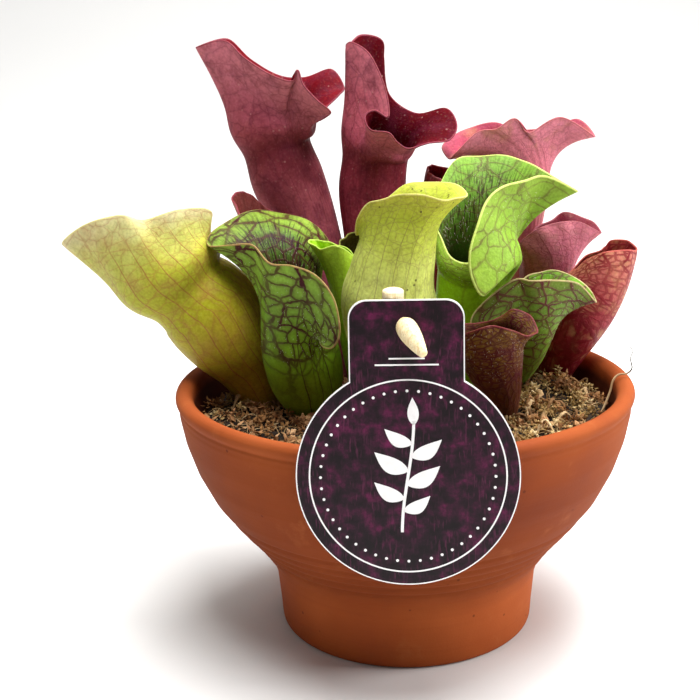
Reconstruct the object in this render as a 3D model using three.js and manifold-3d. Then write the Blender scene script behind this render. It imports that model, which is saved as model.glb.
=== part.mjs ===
// A potted pitcher plant: fifteen trumpet-shaped leaves in a terracotta bowl on a foot, standing in dried
// sphagnum moss, with a round-bodied hang tag that is pegged to a wooden stake at the front rim.
//
// Millimetres, +Z up. The origin is the centre of the pot's flat underside, and -Y is the front.

import * as THREE from 'three';
import { mergeVertices } from 'three/addons/utils/BufferGeometryUtils.js';
import Module from 'manifold-3d';

const wasm = await Module();
wasm.setup();

// ---------------------------------------------------------------- driving dimensions

const GAP = 0.35;              // clear space between two pieces that touch
const POT_FOOT_RADIUS = 40;
const POT_BEAD_RADIUS = 70.3;
const POT_HEIGHT = 77.9;
const POT_FLOOR = 6;           // thickness of the pot's floor
const POT_SIDES = 32;           // facets round the pot
const MOSS_LEVEL = 66;         // height of the moss at the pot's front
const LEAF_WALL = 0.8;         // thickness of every pitcher's skin
const TUBE_RINGS = 5;          // rings of points up a pitcher's tube, and on over its hood
const HOOD_RINGS = 5;
const KNEE_REACH = 0.9;         // how far up its straight length a hood column may bend, at most
const KNEE_PASSES = 2;
const SOLID_RINGS = 2;         // the tube is solid up to this ring
const TAG_RADIUS = 28.5;
const TAG_NECK = 29;
const TAG_TOP = 45.2;           // from the middle of the tag's round body up to its top edge
const TAG_CORNER = 4.5;
const TAG_CARD = 0.8;
const TAG_MIDDLE = 72.5;       // height of the middle of the tag's round body
const TAG_LEAN = THREE.MathUtils.degToRad(6);
const STAKE_RADIUS = 2.7;
const FIBRE_RADIUS = 0.35;
const BRANCH_RADIUS = 3.4;     // of the rhizome's branches
const MOSS_STRANDS = 12;

const plant = new THREE.Group();

// ---------------------------------------------------------------- shared geometry helpers

// A closed mesh as a solid for cutting and joining. Only its positions matter.
function solidOf(geometry) {
  const bare = geometry.clone();
  for (const name of ['normal', 'uv']) {
    bare.deleteAttribute(name);
  }
  const merged = mergeVertices(bare, 1e-4);
  const mesh = new wasm.Mesh({
    numProp: 3,
    vertProperties: new Float32Array(merged.attributes.position.array),
    triVerts: new Uint32Array(merged.index.array),
  });
  mesh.merge();
  return new wasm.Manifold(mesh);
}

// The cut or joined solid as a mesh again.
function geometryOf(solid) {
  const mesh = solid.getMesh();
  const geometry = new THREE.BufferGeometry();
  geometry.setAttribute('position', new THREE.BufferAttribute(new Float32Array(mesh.vertProperties), 3));
  geometry.setIndex(new THREE.BufferAttribute(new Uint32Array(mesh.triVerts), 1));
  geometry.computeVertexNormals();
  return geometry;
}

// Names a finished piece and hangs it in the plant.
function addPiece(name, geometry, finish) {
  const material = new THREE.MeshStandardMaterial({ metalness: 0, ...finish });
  const mesh = new THREE.Mesh(geometry, material);
  mesh.name = name;
  plant.add(mesh);
  return mesh;
}

// A body of revolution about Z from [radius, height] points that start and end on the axis.
function turned(profile, segments) {
  const points = profile.map(([radius, height]) => new THREE.Vector2(radius, height));
  const geometry = new THREE.LatheGeometry(points, segments);
  geometry.rotateX(Math.PI / 2);
  return geometry;
}

// A closed mesh from rings of points, listed from one end to the other, with a point closing each end.
function ringedGeometry(rings, firstPole, lastPole) {
  const count = rings[0].length;
  const points = [...rings.flat(), firstPole, lastPole];
  const first = points.length - 2;
  const last = points.length - 1;
  const faces = [];
  for (let j = 0; j < count; j += 1) {
    const next = (j + 1) % count;
    faces.push(first, next, j);
    for (let i = 0; i + 1 < rings.length; i += 1) {
      const low = i * count;
      const high = low + count;
      faces.push(low + j, low + next, high + next);
      faces.push(low + j, high + next, high + j);
    }
    const top = (rings.length - 1) * count;
    faces.push(last, top + j, top + next);
  }
  const geometry = new THREE.BufferGeometry();
  geometry.setAttribute('position', new THREE.Float32BufferAttribute(points.flatMap((p) => p.toArray()), 3));
  geometry.setIndex(faces);
  return geometry;
}

// Smooth value between b and c, by the curve that also passes through a and d.
function smooth(a, b, c, d, t) {
  const bend = (2 * a - 5 * b + 4 * c - d) * t * t + (3 * b - a - 3 * c + d) * t * t * t;
  return 0.5 * (2 * b + (c - a) * t + bend);
}

// The row of numbers at place t along a list of rows, with the ends carried on straight.
function alongRows(rows, t) {
  const step = Math.min(Math.floor(t), rows.length - 2);
  const before = rows[step - 1] ?? rows[0].map((v, k) => 2 * v - rows[1][k]);
  const after = rows[step + 2] ?? rows[step + 1].map((v, k) => 2 * v - rows[step][k]);
  return rows[step].map((v, k) => smooth(before[k], v, rows[step + 1][k], after[k], t - step));
}

// The row at place t round a closed list of rows. Column 0 is an angle that grows by a full turn each lap.
function roundRows(rows, t) {
  const step = Math.floor(t);
  const row = (i) => {
    const lap = Math.floor(i / rows.length);
    const [angle, ...rest] = rows[i - lap * rows.length];
    return [angle + 360 * lap, ...rest];
  };
  const [a, b, c, d] = [row(step - 1), row(step), row(step + 1), row(step + 2)];
  return b.map((v, k) => smooth(a[k], v, c[k], d[k], t - step));
}

// ---------------------------------------------------------------- the pot

const potOutside = [
  [POT_FOOT_RADIUS - 1.2, 0], [POT_FOOT_RADIUS - 0.2, 1.2], [41.2, 17], [42.6, 21.5], [48.2, 29.4],
  [54.5, 36.8], [60.4, 45], [64.8, 54], [67.7, 63], [69.2, 72], [69.2, 73], [POT_BEAD_RADIUS, 75.6],
  [69.7, 77.2], [68.2, POT_HEIGHT],
];
const potInside = [
  [66.2, POT_HEIGHT], [64.8, 76.8], [64.3, 71], [63.2, 63], [60.2, 54], [55.6, 45], [49.8, 37.4], [40.6, 27.4],
  [36.6, 19], [35.4, POT_FLOOR],
];
addPiece('pot', turned([[0, 0], ...potOutside, ...potInside, [0, POT_FLOOR]], POT_SIDES),
  { color: '#c4683f', roughness: 0.8 });

// ---------------------------------------------------------------- the pitchers

// Each pitcher is a tube that widens from its root to a throat, and a hood that runs on from the throat to
// a free rim. tube: [x, y, z, radius] up the tube. rim: [throat angle, flare, x, y, z] round the free edge,
// where the angle is taken from +X towards +Y and flare tips the hood outwards as it leaves the throat.
const PITCHERS = {
  pitcher_left_yellow: {
    color: '#a3a52c',
    columns: 22,
    tube: [
      [-39, 15, 53, 3], [-43, 15, 62, 5], [-46, 14, 71, 8], [-50, 12, 82, 11], [-56, 8, 93, 14],
      [-62, 7, 101, 15], [-66, 6.3, 105, 15.3],
    ],
    rim: [
      [179, 0, -104, 4, 120.5], [211, 0, -96, -2, 127], [270, 0, -84.5, -5, 130.5], [304, 0, -76.5, -4, 129],
      [337, 0, -66, -2, 131.5], [355, 0, -58, 4, 130], [372, 0, -61, 9, 121], [396, 0, -58.5, 17, 119.5],
      [430, 0, -68, 25, 118], [461, 0, -82, 28, 117.5], [490, 0, -96, 22, 118.5],
    ],
  },
  pitcher_front_left_netted: {
    color: '#5f8f2c',
    columns: 28,
    tube: [
      [-24, 12, 52, 3], [-26.5, 10, 59.5, 4], [-28.5, 6, 67.5, 7.5], [-30, 0, 78, 11], [-31, -5, 87, 11.5],
      [-31.5, -7, 91, 11], [-32, -8.7, 95.5, 10.4],
    ],
    rim: [
      [150, 0, -58.5, -2, 121], [158, 0, -51.5, -8, 121.5], [168, 0, -43, -14, 122.5], [215, 0, -38, -19, 118],
      [262, 0, -31, -23, 118], [278, 0, -24.5, -27, 116], [290, 10, -19, -30, 109.5], [297, 20, -17.5, -31, 101],
      [303, 30, -20, -29, 95.5], [309, 30, -23, -26, 95], [316, 30, -24.5, -21, 97], [328, 20, -24, -16, 99.5],
      [350, 20, -23, -10, 101.5], [385, 10, -24, -3, 104], [412, 0, -25, 6, 109], [430, 0, -22.5, 15.5, 117],
      [445, 0, -29.5, 17, 124.5], [461, 0, -39.5, 18, 127.5], [478, 0, -48.5, 13, 128], [496, 0, -56, 4, 125],
    ],
  },
  pitcher_small_green: {
    color: '#86ab2b',
    columns: 16,
    tube: [
      [-11, 13, 52, 2.5], [-13, 12, 63, 3], [-13, 9.5, 77, 4.5], [-13.5, 8, 89.5, 6], [-14, 6, 99.5, 7],
      [-14.5, 5, 104.5, 7.2],
    ],
    rim: [
      [182, 0, -28, 1, 121], [209, 0, -24.5, -2, 119], [247, 0, -19, -4, 120], [289, 0, -13.5, -2, 115.5],
      [321, 10, -11, 1, 108.5], [366, 10, -9.5, 6, 106], [400, 0, -10.5, 8, 108.5], [444, 0, -15.5, 8, 116],
      [490, 0, -20.5, 6, 119], [521, 0, -24.5, 3.5, 120.5],
    ],
  },
  pitcher_middle_lime: {
    color: '#a9b93a',
    columns: 22,
    tube: [
      [-1, 5, 52, 3], [-2.5, 2, 63.5, 4.5], [-3, -3, 74, 8], [-3.5, -10, 91, 12], [-4, -15, 105.5, 13.5],
      [-3, -17, 113.5, 12], [-1.5, -18, 120.5, 11],
    ],
    rim: [
      [190, 0, -12.5, -22, 130.5], [205, 0, -9.5, -26, 135.5], [225, 0, -4.5, -30, 137.5], [248, 0, 1, -32, 139],
      [270, 0, 6, -32, 138.5], [290, 0, 11.5, -30, 137], [305, 0, 15.5, -25, 136.5], [320, 0, 18.5, -19, 137],
      [338, 0, 16, -12, 138.5], [360, 0, 9.5, -6, 139], [385, 0, 2.5, -3, 138], [410, 0, -3, -3, 135],
      [445, 10, -7.5, -4, 130], [480, 20, -11, -7, 126], [520, 10, -13, -15, 125.5],
    ],
  },
  pitcher_small_olive: {
    color: '#5c5a22',
    columns: 14,
    tube: [
      [-9, 25, 52, 2.5], [-12.5, 26, 61, 3], [-13.5, 24, 77, 4], [-14, 23.5, 91, 5], [-14, 23, 102.5, 5.5],
      [-14, 23, 109, 6],
    ],
    rim: [
      [180, 0, -20, 19, 116], [215, 0, -17, 16, 112.5], [270, 0, -14, 15, 111.5], [320, 0, -10.5, 17, 113],
      [360, 0, -8.5, 22, 116], [405, 0, -10, 27, 118.5], [450, 0, -13.5, 28, 119.5], [495, 0, -18, 25, 118],
    ],
  },
  pitcher_upright_lime: {
    color: '#8fbf45',
    columns: 28,
    tube: [
      [18, 19, 52, 3], [21, 20, 61.5, 3.5], [21, 19, 74, 6], [20.5, 17, 87, 8.5], [21, 14, 98.5, 10],
      [22.5, 11, 108.5, 11],
    ],
    rim: [
      [90, 0, 27, 33, 142], [113, 0, 19.5, 31, 142], [135, 0, 15, 27, 138.5], [158, 0, 11.5, 20, 132.5],
      [178, 0, 10, 13, 125.5], [197, 40, 12.5, 7, 119.5], [222, 60, 14.5, 1, 115.5], [255, 60, 18.5, -3, 114],
      [290, 50, 24, -4, 114.5], [310, 0, 27.5, -10, 113], [317, 20, 25, -17, 109.5], [324, 20, 22.5, -20, 108],
      [331, 20, 20, -20, 113.5], [339, 0, 19.5, -19, 120.5], [348, 0, 21.5, -16, 127.5], [357, 0, 24.5, -12, 133.5],
      [366, 0, 29.5, -6, 137], [374, 0, 36.5, 1, 138], [382, 0, 44, 9, 138], [390, 0, 54, 14, 133],
      [402, 0, 45, 20, 138], [416, 0, 40, 26, 140.5], [432, 0, 34.5, 31, 142],
    ],
  },
  pitcher_right_netted: {
    color: '#6c9a3c',
    columns: 24,
    tube: [
      [32, 21, 53, 2.5], [34, 20, 64, 3], [35, 17, 72.5, 4.5], [37, 11, 81.5, 6.5], [38, 6.5, 87.5, 7.2],
      [38.8, 4.2, 91.8, 7.6],
    ],
    rim: [
      [0, 0, 59, 3, 100.5], [15, 0, 57.5, 5, 103.5], [35, 0, 53, 10, 107], [60, 0, 47, 12, 108.5],
      [90, 0, 42, 11, 108], [115, 0, 38, 8, 107.5], [145, 0, 36.5, 4, 105], [175, 0, 34.5, 0, 101],
      [198, 20, 32.5, -4, 96], [209, 40, 29.5, -9, 92.5], [216, 50, 25, -12, 90], [222, 30, 21, -13, 94],
      [228, 10, 20.5, -12, 99.5], [236, 0, 26, -10, 105.5], [250, 0, 33, -9, 110], [275, 0, 38, -10, 110],
      [306, 0, 44.5, -8, 109.5], [340, 0, 52.5, -3, 107.5],
    ],
  },
  pitcher_small_bronze: {
    color: '#6a3f24',
    columns: 18,
    tube: [
      [27, 4, 53, 2.5], [31, 0, 61, 3], [30, -7, 70, 4.5], [28.5, -16, 80, 6], [26, -24, 89, 8],
      [25.3, -26.8, 92.8, 8.4],
    ],
    rim: [
      [1, 0, 37.5, -31, 99.5], [30, 0, 36, -25, 103], [54, 0, 31.5, -22, 104], [78, 0, 26.5, -21, 101],
      [107, 0, 22, -21, 100], [138, 0, 17, -23, 100], [172, 10, 14, -28, 98.5], [205, 10, 14, -35, 99.5],
      [236, 0, 17, -40, 101.5], [276, 0, 22, -42, 104], [312, 0, 27.5, -41, 103.5], [338, 0, 33, -37, 100.5],
    ],
  },
  pitcher_tall_red_left: {
    color: '#7a3340',
    columns: 26,
    tube: [
      [-17, 31, 52, 3], [-20.5, 34, 60, 3.5], [-22.5, 36, 81, 6], [-27, 39, 103, 8.5], [-32, 41, 121, 10],
      [-37.5, 42, 134.5, 12], [-40.5, 42, 144, 12],
    ],
    rim: [
      [201, 0, -65, 37, 178], [251, 0, -55.5, 31, 180.5], [276, 0, -48.5, 27, 175], [292, 0, -41.5, 25, 170],
      [299, 0, -33.5, 24, 167.5], [305, 0, -31.5, 23, 170.5], [311, 0, -29.5, 23, 166], [317, 20, -25.5, 22, 161],
      [323, 30, -21.5, 23, 157.5], [329, 40, -26, 28, 154.5], [342, 20, -25, 36, 157], [362, 10, -20, 43, 162],
      [375, 0, -18.5, 49, 164], [384, 0, -23, 53, 170], [405, 0, -32, 57, 167], [426, 0, -40.5, 58, 168],
      [451, 0, -50, 55, 173.5], [502, 0, -56, 47, 181],
    ],
  },
  pitcher_tall_red_middle: {
    color: '#70242f',
    columns: 26,
    tube: [
      [-3, 28, 53, 3], [-4, 30, 60, 3.5], [-5.5, 34, 77.5, 6.5], [-8, 38, 97.5, 8.5], [-9, 40, 117.5, 10],
      [-9.5, 41, 131, 11], [-8.5, 41, 140.5, 11],
    ],
    rim: [
      [180, 0, -16.5, 38, 177.5], [195, 0, -15, 35, 178.5], [210, 0, -9, 31, 174.5], [226, 0, -5, 28, 165.5],
      [242, 0, -3.5, 26, 155.5], [256, 10, -10.5, 23, 158.5], [268, 20, -9.5, 20, 152.5], [280, 20, -2, 22, 152.5],
      [295, 30, -2.5, 26, 149], [315, 30, 2.5, 30, 145], [335, 20, 9.5, 32, 146.5], [352, 0, 16, 36, 147.5],
      [368, 0, 18.5, 42, 151.5], [385, 0, 15, 48, 156.5], [410, 0, 5, 52, 155], [440, 0, -3.5, 54, 161],
      [470, 0, -5, 54, 172.5], [498, 0, -6, 52, 179], [520, 0, -12.5, 45, 181.5],
    ],
  },
  pitcher_back_pink: {
    color: '#b9606a',
    columns: 20,
    tube: [
      [27, 40, 53, 2.5], [30, 44, 60, 3], [32, 48, 74.5, 4.5], [36.5, 51, 95.5, 5.5], [40.5, 53, 113, 6.5],
      [40.5, 51, 125.5, 8.5], [40, 50, 132, 9.5],
    ],
    rim: [
      [0, 0, 64, 46, 146.5], [15, 0, 59.5, 53, 151.5], [35, 0, 50, 58, 148.5], [60, 0, 41, 61, 148],
      [90, 0, 32, 61, 150.5], [120, 0, 23, 58, 149], [150, 0, 17.5, 54, 146.5], [180, 20, 14, 48, 144],
      [230, 10, 16, 40, 140.5], [255, 0, 18, 37, 143], [278, 0, 25, 36, 149.5], [294, 0, 31, 36, 150.5],
      [308, 0, 37, 36, 153.5], [322, 0, 42, 37, 149], [340, 0, 52, 40, 153.5],
    ],
  },
  pitcher_back_small_red: {
    color: '#7d3f49',
    columns: 12,
    tube: [
      [9, 38, 53, 2.5], [11.5, 42, 61, 3], [12, 43, 78.5, 4], [13, 44, 99.5, 5.5], [13, 44, 115, 6],
      [13, 44, 125, 6],
    ],
    rim: [
      [180, 0, 9, 42, 136.5], [225, 0, 11.5, 38, 135], [270, 0, 15, 37, 134], [315, 0, 18, 40, 135],
      [360, 0, 19.5, 44, 136.5], [405, 0, 17, 49, 136.5], [450, 0, 13.5, 50, 137], [495, 0, 10, 47, 138],
    ],
  },
  pitcher_right_rose: {
    color: '#935058',
    columns: 18,
    tube: [
      [38, 36, 53, 2.5], [40, 37, 61, 3.2], [41.5, 37.5, 71, 4.2], [44.5, 38.5, 85.5, 6], [47, 39, 96.5, 7.5],
      [48, 38, 104, 8.5],
    ],
    rim: [
      [0, 0, 66, 40, 115.5], [20, 0, 63.5, 46, 118.5], [45, 0, 55.5, 49, 121], [75, 0, 51, 47, 119],
      [105, 0, 45.5, 43, 117], [140, 0, 41, 41, 112.5], [180, 10, 38.5, 37, 110.5], [220, 10, 38, 33, 112],
      [260, 0, 40, 31, 115.5], [285, 0, 45, 30, 119], [310, 0, 51.5, 31, 120.5], [335, 0, 58, 34, 120],
    ],
  },
  pitcher_far_right_mottled: {
    color: '#96524a',
    columns: 18,
    tube: [
      [45, 26, 53, 3], [47.5, 26, 63.5, 4], [49.5, 24, 73.5, 6], [52, 22, 83, 8.5], [55.5, 20, 91.5, 10],
      [57.4, 20, 95, 10.3],
    ],
    rim: [
      [0, 0, 74.5, 20, 113], [39, 0, 73, 25, 115], [88, 0, 68, 30, 114.5], [96, 0, 65, 31, 111.5],
      [119, 0, 59.5, 29, 109.5], [143, 0, 53.5, 26, 104.5], [175, 10, 51, 21, 103.5], [189, 10, 52, 19, 105],
      [210, 0, 54.5, 15, 108.5], [228, 0, 58.5, 13, 112], [253, 0, 63, 12, 114], [313, 0, 70, 15, 114],
    ],
  },
  pitcher_back_left_tip: {
    color: '#a4624c',
    columns: 12,
    tube: [
      [-27, 22, 52, 2.5], [-28.5, 21, 64, 3], [-31.5, 22, 81, 4], [-36, 24, 97.5, 5], [-40.5, 25, 110, 6],
      [-43, 25, 117.5, 6],
    ],
    rim: [
      [180, 0, -53.5, 22, 132], [215, 0, -50.5, 17, 127], [255, 0, -45, 16, 124.5], [300, 0, -40, 18, 125],
      [360, 0, -37.5, 25, 125], [405, 0, -43.5, 31, 126.5], [450, 0, -47.5, 32, 130], [495, 0, -51, 29, 132.5],
    ],
  },
};

const X_AXIS = new THREE.Vector3(1, 0, 0);
const Y_AXIS = new THREE.Vector3(0, 1, 0);

// Centre, radius and the directions along, across and behind a tube at place t on its rows. Across leans
// towards a guide, which is +X where nothing else is given.
function tubeStation(tube, t, guide = X_AXIS) {
  const step = 1e-3;
  const row = alongRows(tube, t);
  const low = alongRows(tube, Math.max(t - step, 0));
  const high = alongRows(tube, Math.min(t + step, tube.length - 1));
  const span = Math.min(t + step, tube.length - 1) - Math.max(t - step, 0);
  const slope = high.map((v, k) => (v - low[k]) / span);
  const rise = new THREE.Vector3(slope[0], slope[1], slope[2]);
  const along = rise.clone().normalize();
  const across = guide.clone().addScaledVector(along, -along.dot(guide)).normalize();
  const behind = along.clone().cross(across);
  return { centre: new THREE.Vector3(row[0], row[1], row[2]), radius: row[3], rise, widen: slope[3], across, behind };
}

// A ring of the tube, with the outward direction at each angle.
function tubeRing(station, angles, extra = 0) {
  return angles.map((angle) => {
    const outward = station.across.clone().multiplyScalar(Math.cos(angle));
    outward.addScaledVector(station.behind, Math.sin(angle));
    return station.centre.clone().addScaledVector(outward, station.radius + extra);
  });
}

// The pitcher's skin as rings of points: circles up the tube, then the hood. A column of the hood is a plain
// curve that leaves the throat along the tube's wall, tipped by its flare, bends at a knee and ends at its
// rim point. The knees of neighbouring columns are evened out, so that the hood has no creases.
function pitcherSkin({ tube, rim, columns }, tubeRings, hoodRings) {
  const edge = Array.from({ length: columns }, (_, j) => roundRows(rim, (j * rim.length) / columns));
  const angles = edge.map((row) => THREE.MathUtils.degToRad(row[0]));
  const rings = [];
  for (let i = 0; i < tubeRings; i += 1) {
    const station = tubeStation(tube, (i * (tube.length - 1)) / (tubeRings - 1));
    rings.push(tubeRing(station, angles));
  }
  const throatRing = rings[tubeRings - 1];
  const throat = tubeStation(tube, tube.length - 1);
  let knees = edge.map((row, j) => {
    const outward = throat.across.clone().multiplyScalar(Math.cos(angles[j]));
    outward.addScaledVector(throat.behind, Math.sin(angles[j]));
    const wall = throat.rise.clone().addScaledVector(outward, throat.widen).normalize();
    const side = outward.clone().addScaledVector(wall, -outward.dot(wall)).normalize();
    const flare = THREE.MathUtils.degToRad(row[1]);
    const start = wall.multiplyScalar(Math.cos(flare)).addScaledVector(side, Math.sin(flare));
    const chord = new THREE.Vector3(row[2], row[3], row[4]).sub(throatRing[j]);
    const lean = Math.max(start.dot(chord) / chord.length(), 0.5 / KNEE_REACH);
    return throatRing[j].clone().addScaledVector(start, (0.5 * chord.length()) / lean);
  });
  for (let pass = 0; pass < KNEE_PASSES; pass += 1) {
    knees = knees.map((knee, j) => {
      const even = knees[(j + 1) % columns].clone().add(knees[(j + columns - 1) % columns]);
      return knee.clone().multiplyScalar(0.5).addScaledVector(even, 0.25);
    });
  }
  for (let i = 1; i <= hoodRings; i += 1) {
    const s = i / hoodRings;
    rings.push(throatRing.map((point, j) => {
      const [, , x, y, z] = edge[j];
      const along = point.clone().multiplyScalar((1 - s) ** 2);
      along.addScaledVector(knees[j], 2 * s * (1 - s));
      return along.addScaledVector(new THREE.Vector3(x, y, z), s * s);
    }));
  }
  return rings;
}

// The outward direction at every point of a skin.
function skinNormals(rings) {
  const count = rings[0].length;
  return rings.map((ring, i) => ring.map((_, j) => {
    const round = ring[(j + 1) % count].clone().sub(ring[(j + count - 1) % count]);
    const up = rings[Math.min(i + 1, rings.length - 1)][j].clone().sub(rings[Math.max(i - 1, 0)][j]);
    return round.cross(up).normalize();
  }));
}

// The skin moved outwards by an amount at every point.
function offsetRings(rings, amount) {
  const normals = skinNormals(rings);
  return rings.map((ring, i) => ring.map((point, j) => point.clone().addScaledVector(normals[i][j], amount)));
}

// The skin given its thickness: a hollow trumpet with a solid root.
function pitcherGeometry(pitcher) {
  const rings = pitcherSkin(pitcher, TUBE_RINGS, HOOD_RINGS);
  const outer = offsetRings(rings, LEAF_WALL / 2);
  const inner = offsetRings(rings, -LEAF_WALL / 2).slice(SOLID_RINGS).reverse();
  const hollowEnd = new THREE.Vector3();
  for (const point of inner.at(-1)) {
    hollowEnd.addScaledVector(point, 1 / pitcher.columns);
  }
  return ringedGeometry([...outer, ...inner], tubeStation(pitcher.tube, 0).centre, hollowEnd);
}

for (const [name, pitcher] of Object.entries(PITCHERS)) {
  addPiece(name, pitcherGeometry(pitcher), { color: pitcher.color, roughness: 0.5 });
}

// The plain eight-sided hole that a pitcher's lower tube stands in, clear of the tube by the gap or more.
function stemHole({ tube }) {
  const sides = 8;
  const angles = Array.from({ length: sides }, (_, j) => (j * 2 * Math.PI) / sides);
  const stations = [0, 1, 2].map((i) => tubeStation(tube, (i * (tube.length - 1)) / (TUBE_RINGS - 1)));
  const rings = stations.map((station) => {
    const clear = (station.radius + LEAF_WALL / 2 + GAP) / Math.cos(Math.PI / sides) - station.radius;
    return tubeRing(station, angles, clear);
  });
  const drop = -(LEAF_WALL + GAP);
  const down = stations[0].rise.normalize();
  rings[0].forEach((point) => point.addScaledVector(down, drop));
  const low = stations[0].centre.clone().addScaledVector(down, drop);
  return solidOf(ringedGeometry(rings, low, stations[2].centre));
}
const stemHoles = Object.values(PITCHERS).map(stemHole);

// ---------------------------------------------------------------- round rods: stake, peg, fibre, rhizome

// A rod through [x, y, z, radius] rows, with a flat or slightly domed end at each side.
function rodGeometry(rows, sides, ringCount, extra = 0, guide = X_AXIS) {
  const angles = Array.from({ length: sides }, (_, j) => (j * 2 * Math.PI) / sides);
  const places = Array.from({ length: ringCount }, (_, i) => (i * (rows.length - 1)) / (ringCount - 1));
  const stations = places.map((place) => tubeStation(rows, place, guide));
  const rings = stations.map((station) => tubeRing(station, angles, extra));
  const low = stations[0].centre.clone().addScaledVector(stations[0].rise.normalize(), -extra);
  const high = stations.at(-1).centre.clone().addScaledVector(stations.at(-1).rise.normalize(), extra);
  return ringedGeometry(rings, low, high);
}

// ---------------------------------------------------------------- the stake, and the peg in the tag

const stakeRows = [[-2.3, -57.8, 57, STAKE_RADIUS], [-2.3, -63.4, 119.5, STAKE_RADIUS]];
addPiece('wooden_stake', rodGeometry(stakeRows, 14, 2), { color: '#e9dcb4', roughness: 0.7 });

const pegRows = [[0.2, -67, 112.3, 1.7], [1.6, -70, 110.2, 2.1], [3.8, -73.6, 107.2, 2.2], [5.4, -76, 105.2, 1.1]];
addPiece('wooden_peg', rodGeometry(pegRows, 10, 6), { color: '#ecdcae', roughness: 0.7 });

// ---------------------------------------------------------------- the hang tag

// Card outline: a round body that runs up into a straight neck with rounded top corners.
function tagOutline() {
  const half = TAG_NECK / 2;
  const shoulder = Math.acos(half / TAG_RADIUS);
  const outline = new THREE.Shape();
  outline.absarc(0, 0, TAG_RADIUS, Math.PI - shoulder, shoulder, false);
  outline.lineTo(half, TAG_TOP - TAG_CORNER);
  outline.absarc(half - TAG_CORNER, TAG_TOP - TAG_CORNER, TAG_CORNER, 0, Math.PI / 2, false);
  outline.absarc(TAG_CORNER - half, TAG_TOP - TAG_CORNER, TAG_CORNER, Math.PI / 2, Math.PI, false);
  outline.closePath();
  return outline;
}

// The card stands in front of the bead and leans back over the rim. Its hole fits round the peg.
function tagGeometry() {
  const card = new THREE.ExtrudeGeometry(tagOutline(), { depth: TAG_CARD, bevelEnabled: false, curveSegments: 12 });
  card.rotateX(Math.PI / 2);
  card.rotateX(-TAG_LEAN);
  card.translate(0.9, -(POT_BEAD_RADIUS + 2 * GAP), TAG_MIDDLE);
  return geometryOf(solidOf(card).subtract(solidOf(rodGeometry(pegRows, 10, 6, GAP))));
}
addPiece('hang_tag', tagGeometry(), { color: '#35111d', roughness: 0.55 });

// ---------------------------------------------------------------- the loose fibre on the rim

const fibrePath = [
  [59.5, -4, 64.5], [61.5, -3.5, 69], [63.2, -3, 73.5], [64, -3, 77], [65.6, -3, 78.9], [68.2, -3, 79.3],
  [69.6, -3, 81], [69, -3, 84], [69.6, -3, 86.5], [67.4, -3, 88.6],
];
const fibreRows = fibrePath.map((point) => [...point, FIBRE_RADIUS]);
addPiece('loose_fibre', rodGeometry(fibreRows, 6, 19), { color: '#c9a878', roughness: 0.9 });

// ---------------------------------------------------------------- the rhizome inside the moss

// A creeping stem of rows [x, y, z, radius], with a short branch up to the root of each pitcher.
const crownRows = [[-38, 16, 44, 4.5], [-15, 17, 42, 6], [8, 17, 42, 6.5], [30, 22, 43, 6], [42, 29, 45, 4.5]];

// Each branch ends level, one gap below the root that stands on it.
function rhizomeSolid(extra) {
  let rhizome = solidOf(rodGeometry(crownRows, 8, 5, extra, Y_AXIS));
  for (const pitcher of Object.values(PITCHERS)) {
    const { tube: [[rootX, rootY]] } = pitcher;
    const skin = offsetRings(pitcherSkin(pitcher, TUBE_RINGS, HOOD_RINGS), LEAF_WALL / 2)[0];
    const top = Math.min(...skin.map((point) => point.z)) - GAP;
    const place = ((rootX - crownRows[0][0]) * (crownRows.length - 1)) / (crownRows.at(-1)[0] - crownRows[0][0]);
    const [x, y, z] = alongRows(crownRows, THREE.MathUtils.clamp(place, 0, crownRows.length - 1));
    const lean = new THREE.Vector3(rootX - x, rootY - y, top - z).normalize();
    const end = top - BRANCH_RADIUS * Math.sqrt(1 - lean.z ** 2);
    const branch = [[x, y, z, BRANCH_RADIUS], [rootX, rootY, end, BRANCH_RADIUS]];
    rhizome = rhizome.add(solidOf(rodGeometry(branch, 6, 2, extra)));
  }
  return rhizome;
}
addPiece('rhizome', geometryOf(rhizomeSolid(0)), { color: '#5b3a26', roughness: 0.9 });

// ---------------------------------------------------------------- the dried moss that fills the pot

// Height of the moss: nearly level, with a heap of strands on the right and small seeded hummocks.
function mossHeight(x, y) {
  const heap = 6 * Math.exp(-((x - 44) ** 2 + (y - 14) ** 2) / 220);
  const hummocks = 0.9 * Math.sin(0.31 * x + 1.7) * Math.cos(0.27 * y) + 0.6 * Math.sin(0.53 * x - 0.47 * y);
  return MOSS_LEVEL + 1.2 + heap + hummocks;
}

// The same draw every time: a small multiplying generator, as numbers from 0 to 1.
function seededDraw(seed) {
  let state = seed;
  return () => {
    state = (state * 16807) % 2147483647;
    return state / 2147483647;
  };
}

function mossBody() {
  const ring = (radius, height) => Array.from({ length: POT_SIDES }, (_, j) => {
    const angle = (j * 2 * Math.PI) / POT_SIDES;
    const x = radius * Math.cos(angle);
    const y = radius * Math.sin(angle);
    return new THREE.Vector3(x, y, height ?? mossHeight(x, y));
  });
  const wall = potInside.slice(3).reverse().map(([radius, height]) => ring(radius - 1.5 * GAP, height));
  wall[0].forEach((point) => point.setZ(POT_FLOOR + GAP));
  const edge = potInside[3][0] - GAP;
  const top = [1, 0.9, 0.74, 0.52, 0.26].map((part) => ring(edge * part));
  const bottom = new THREE.Vector3(0, 0, POT_FLOOR + GAP);
  return solidOf(ringedGeometry([...wall, ...top], bottom, new THREE.Vector3(0, 0, mossHeight(0, 0))));
}

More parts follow.
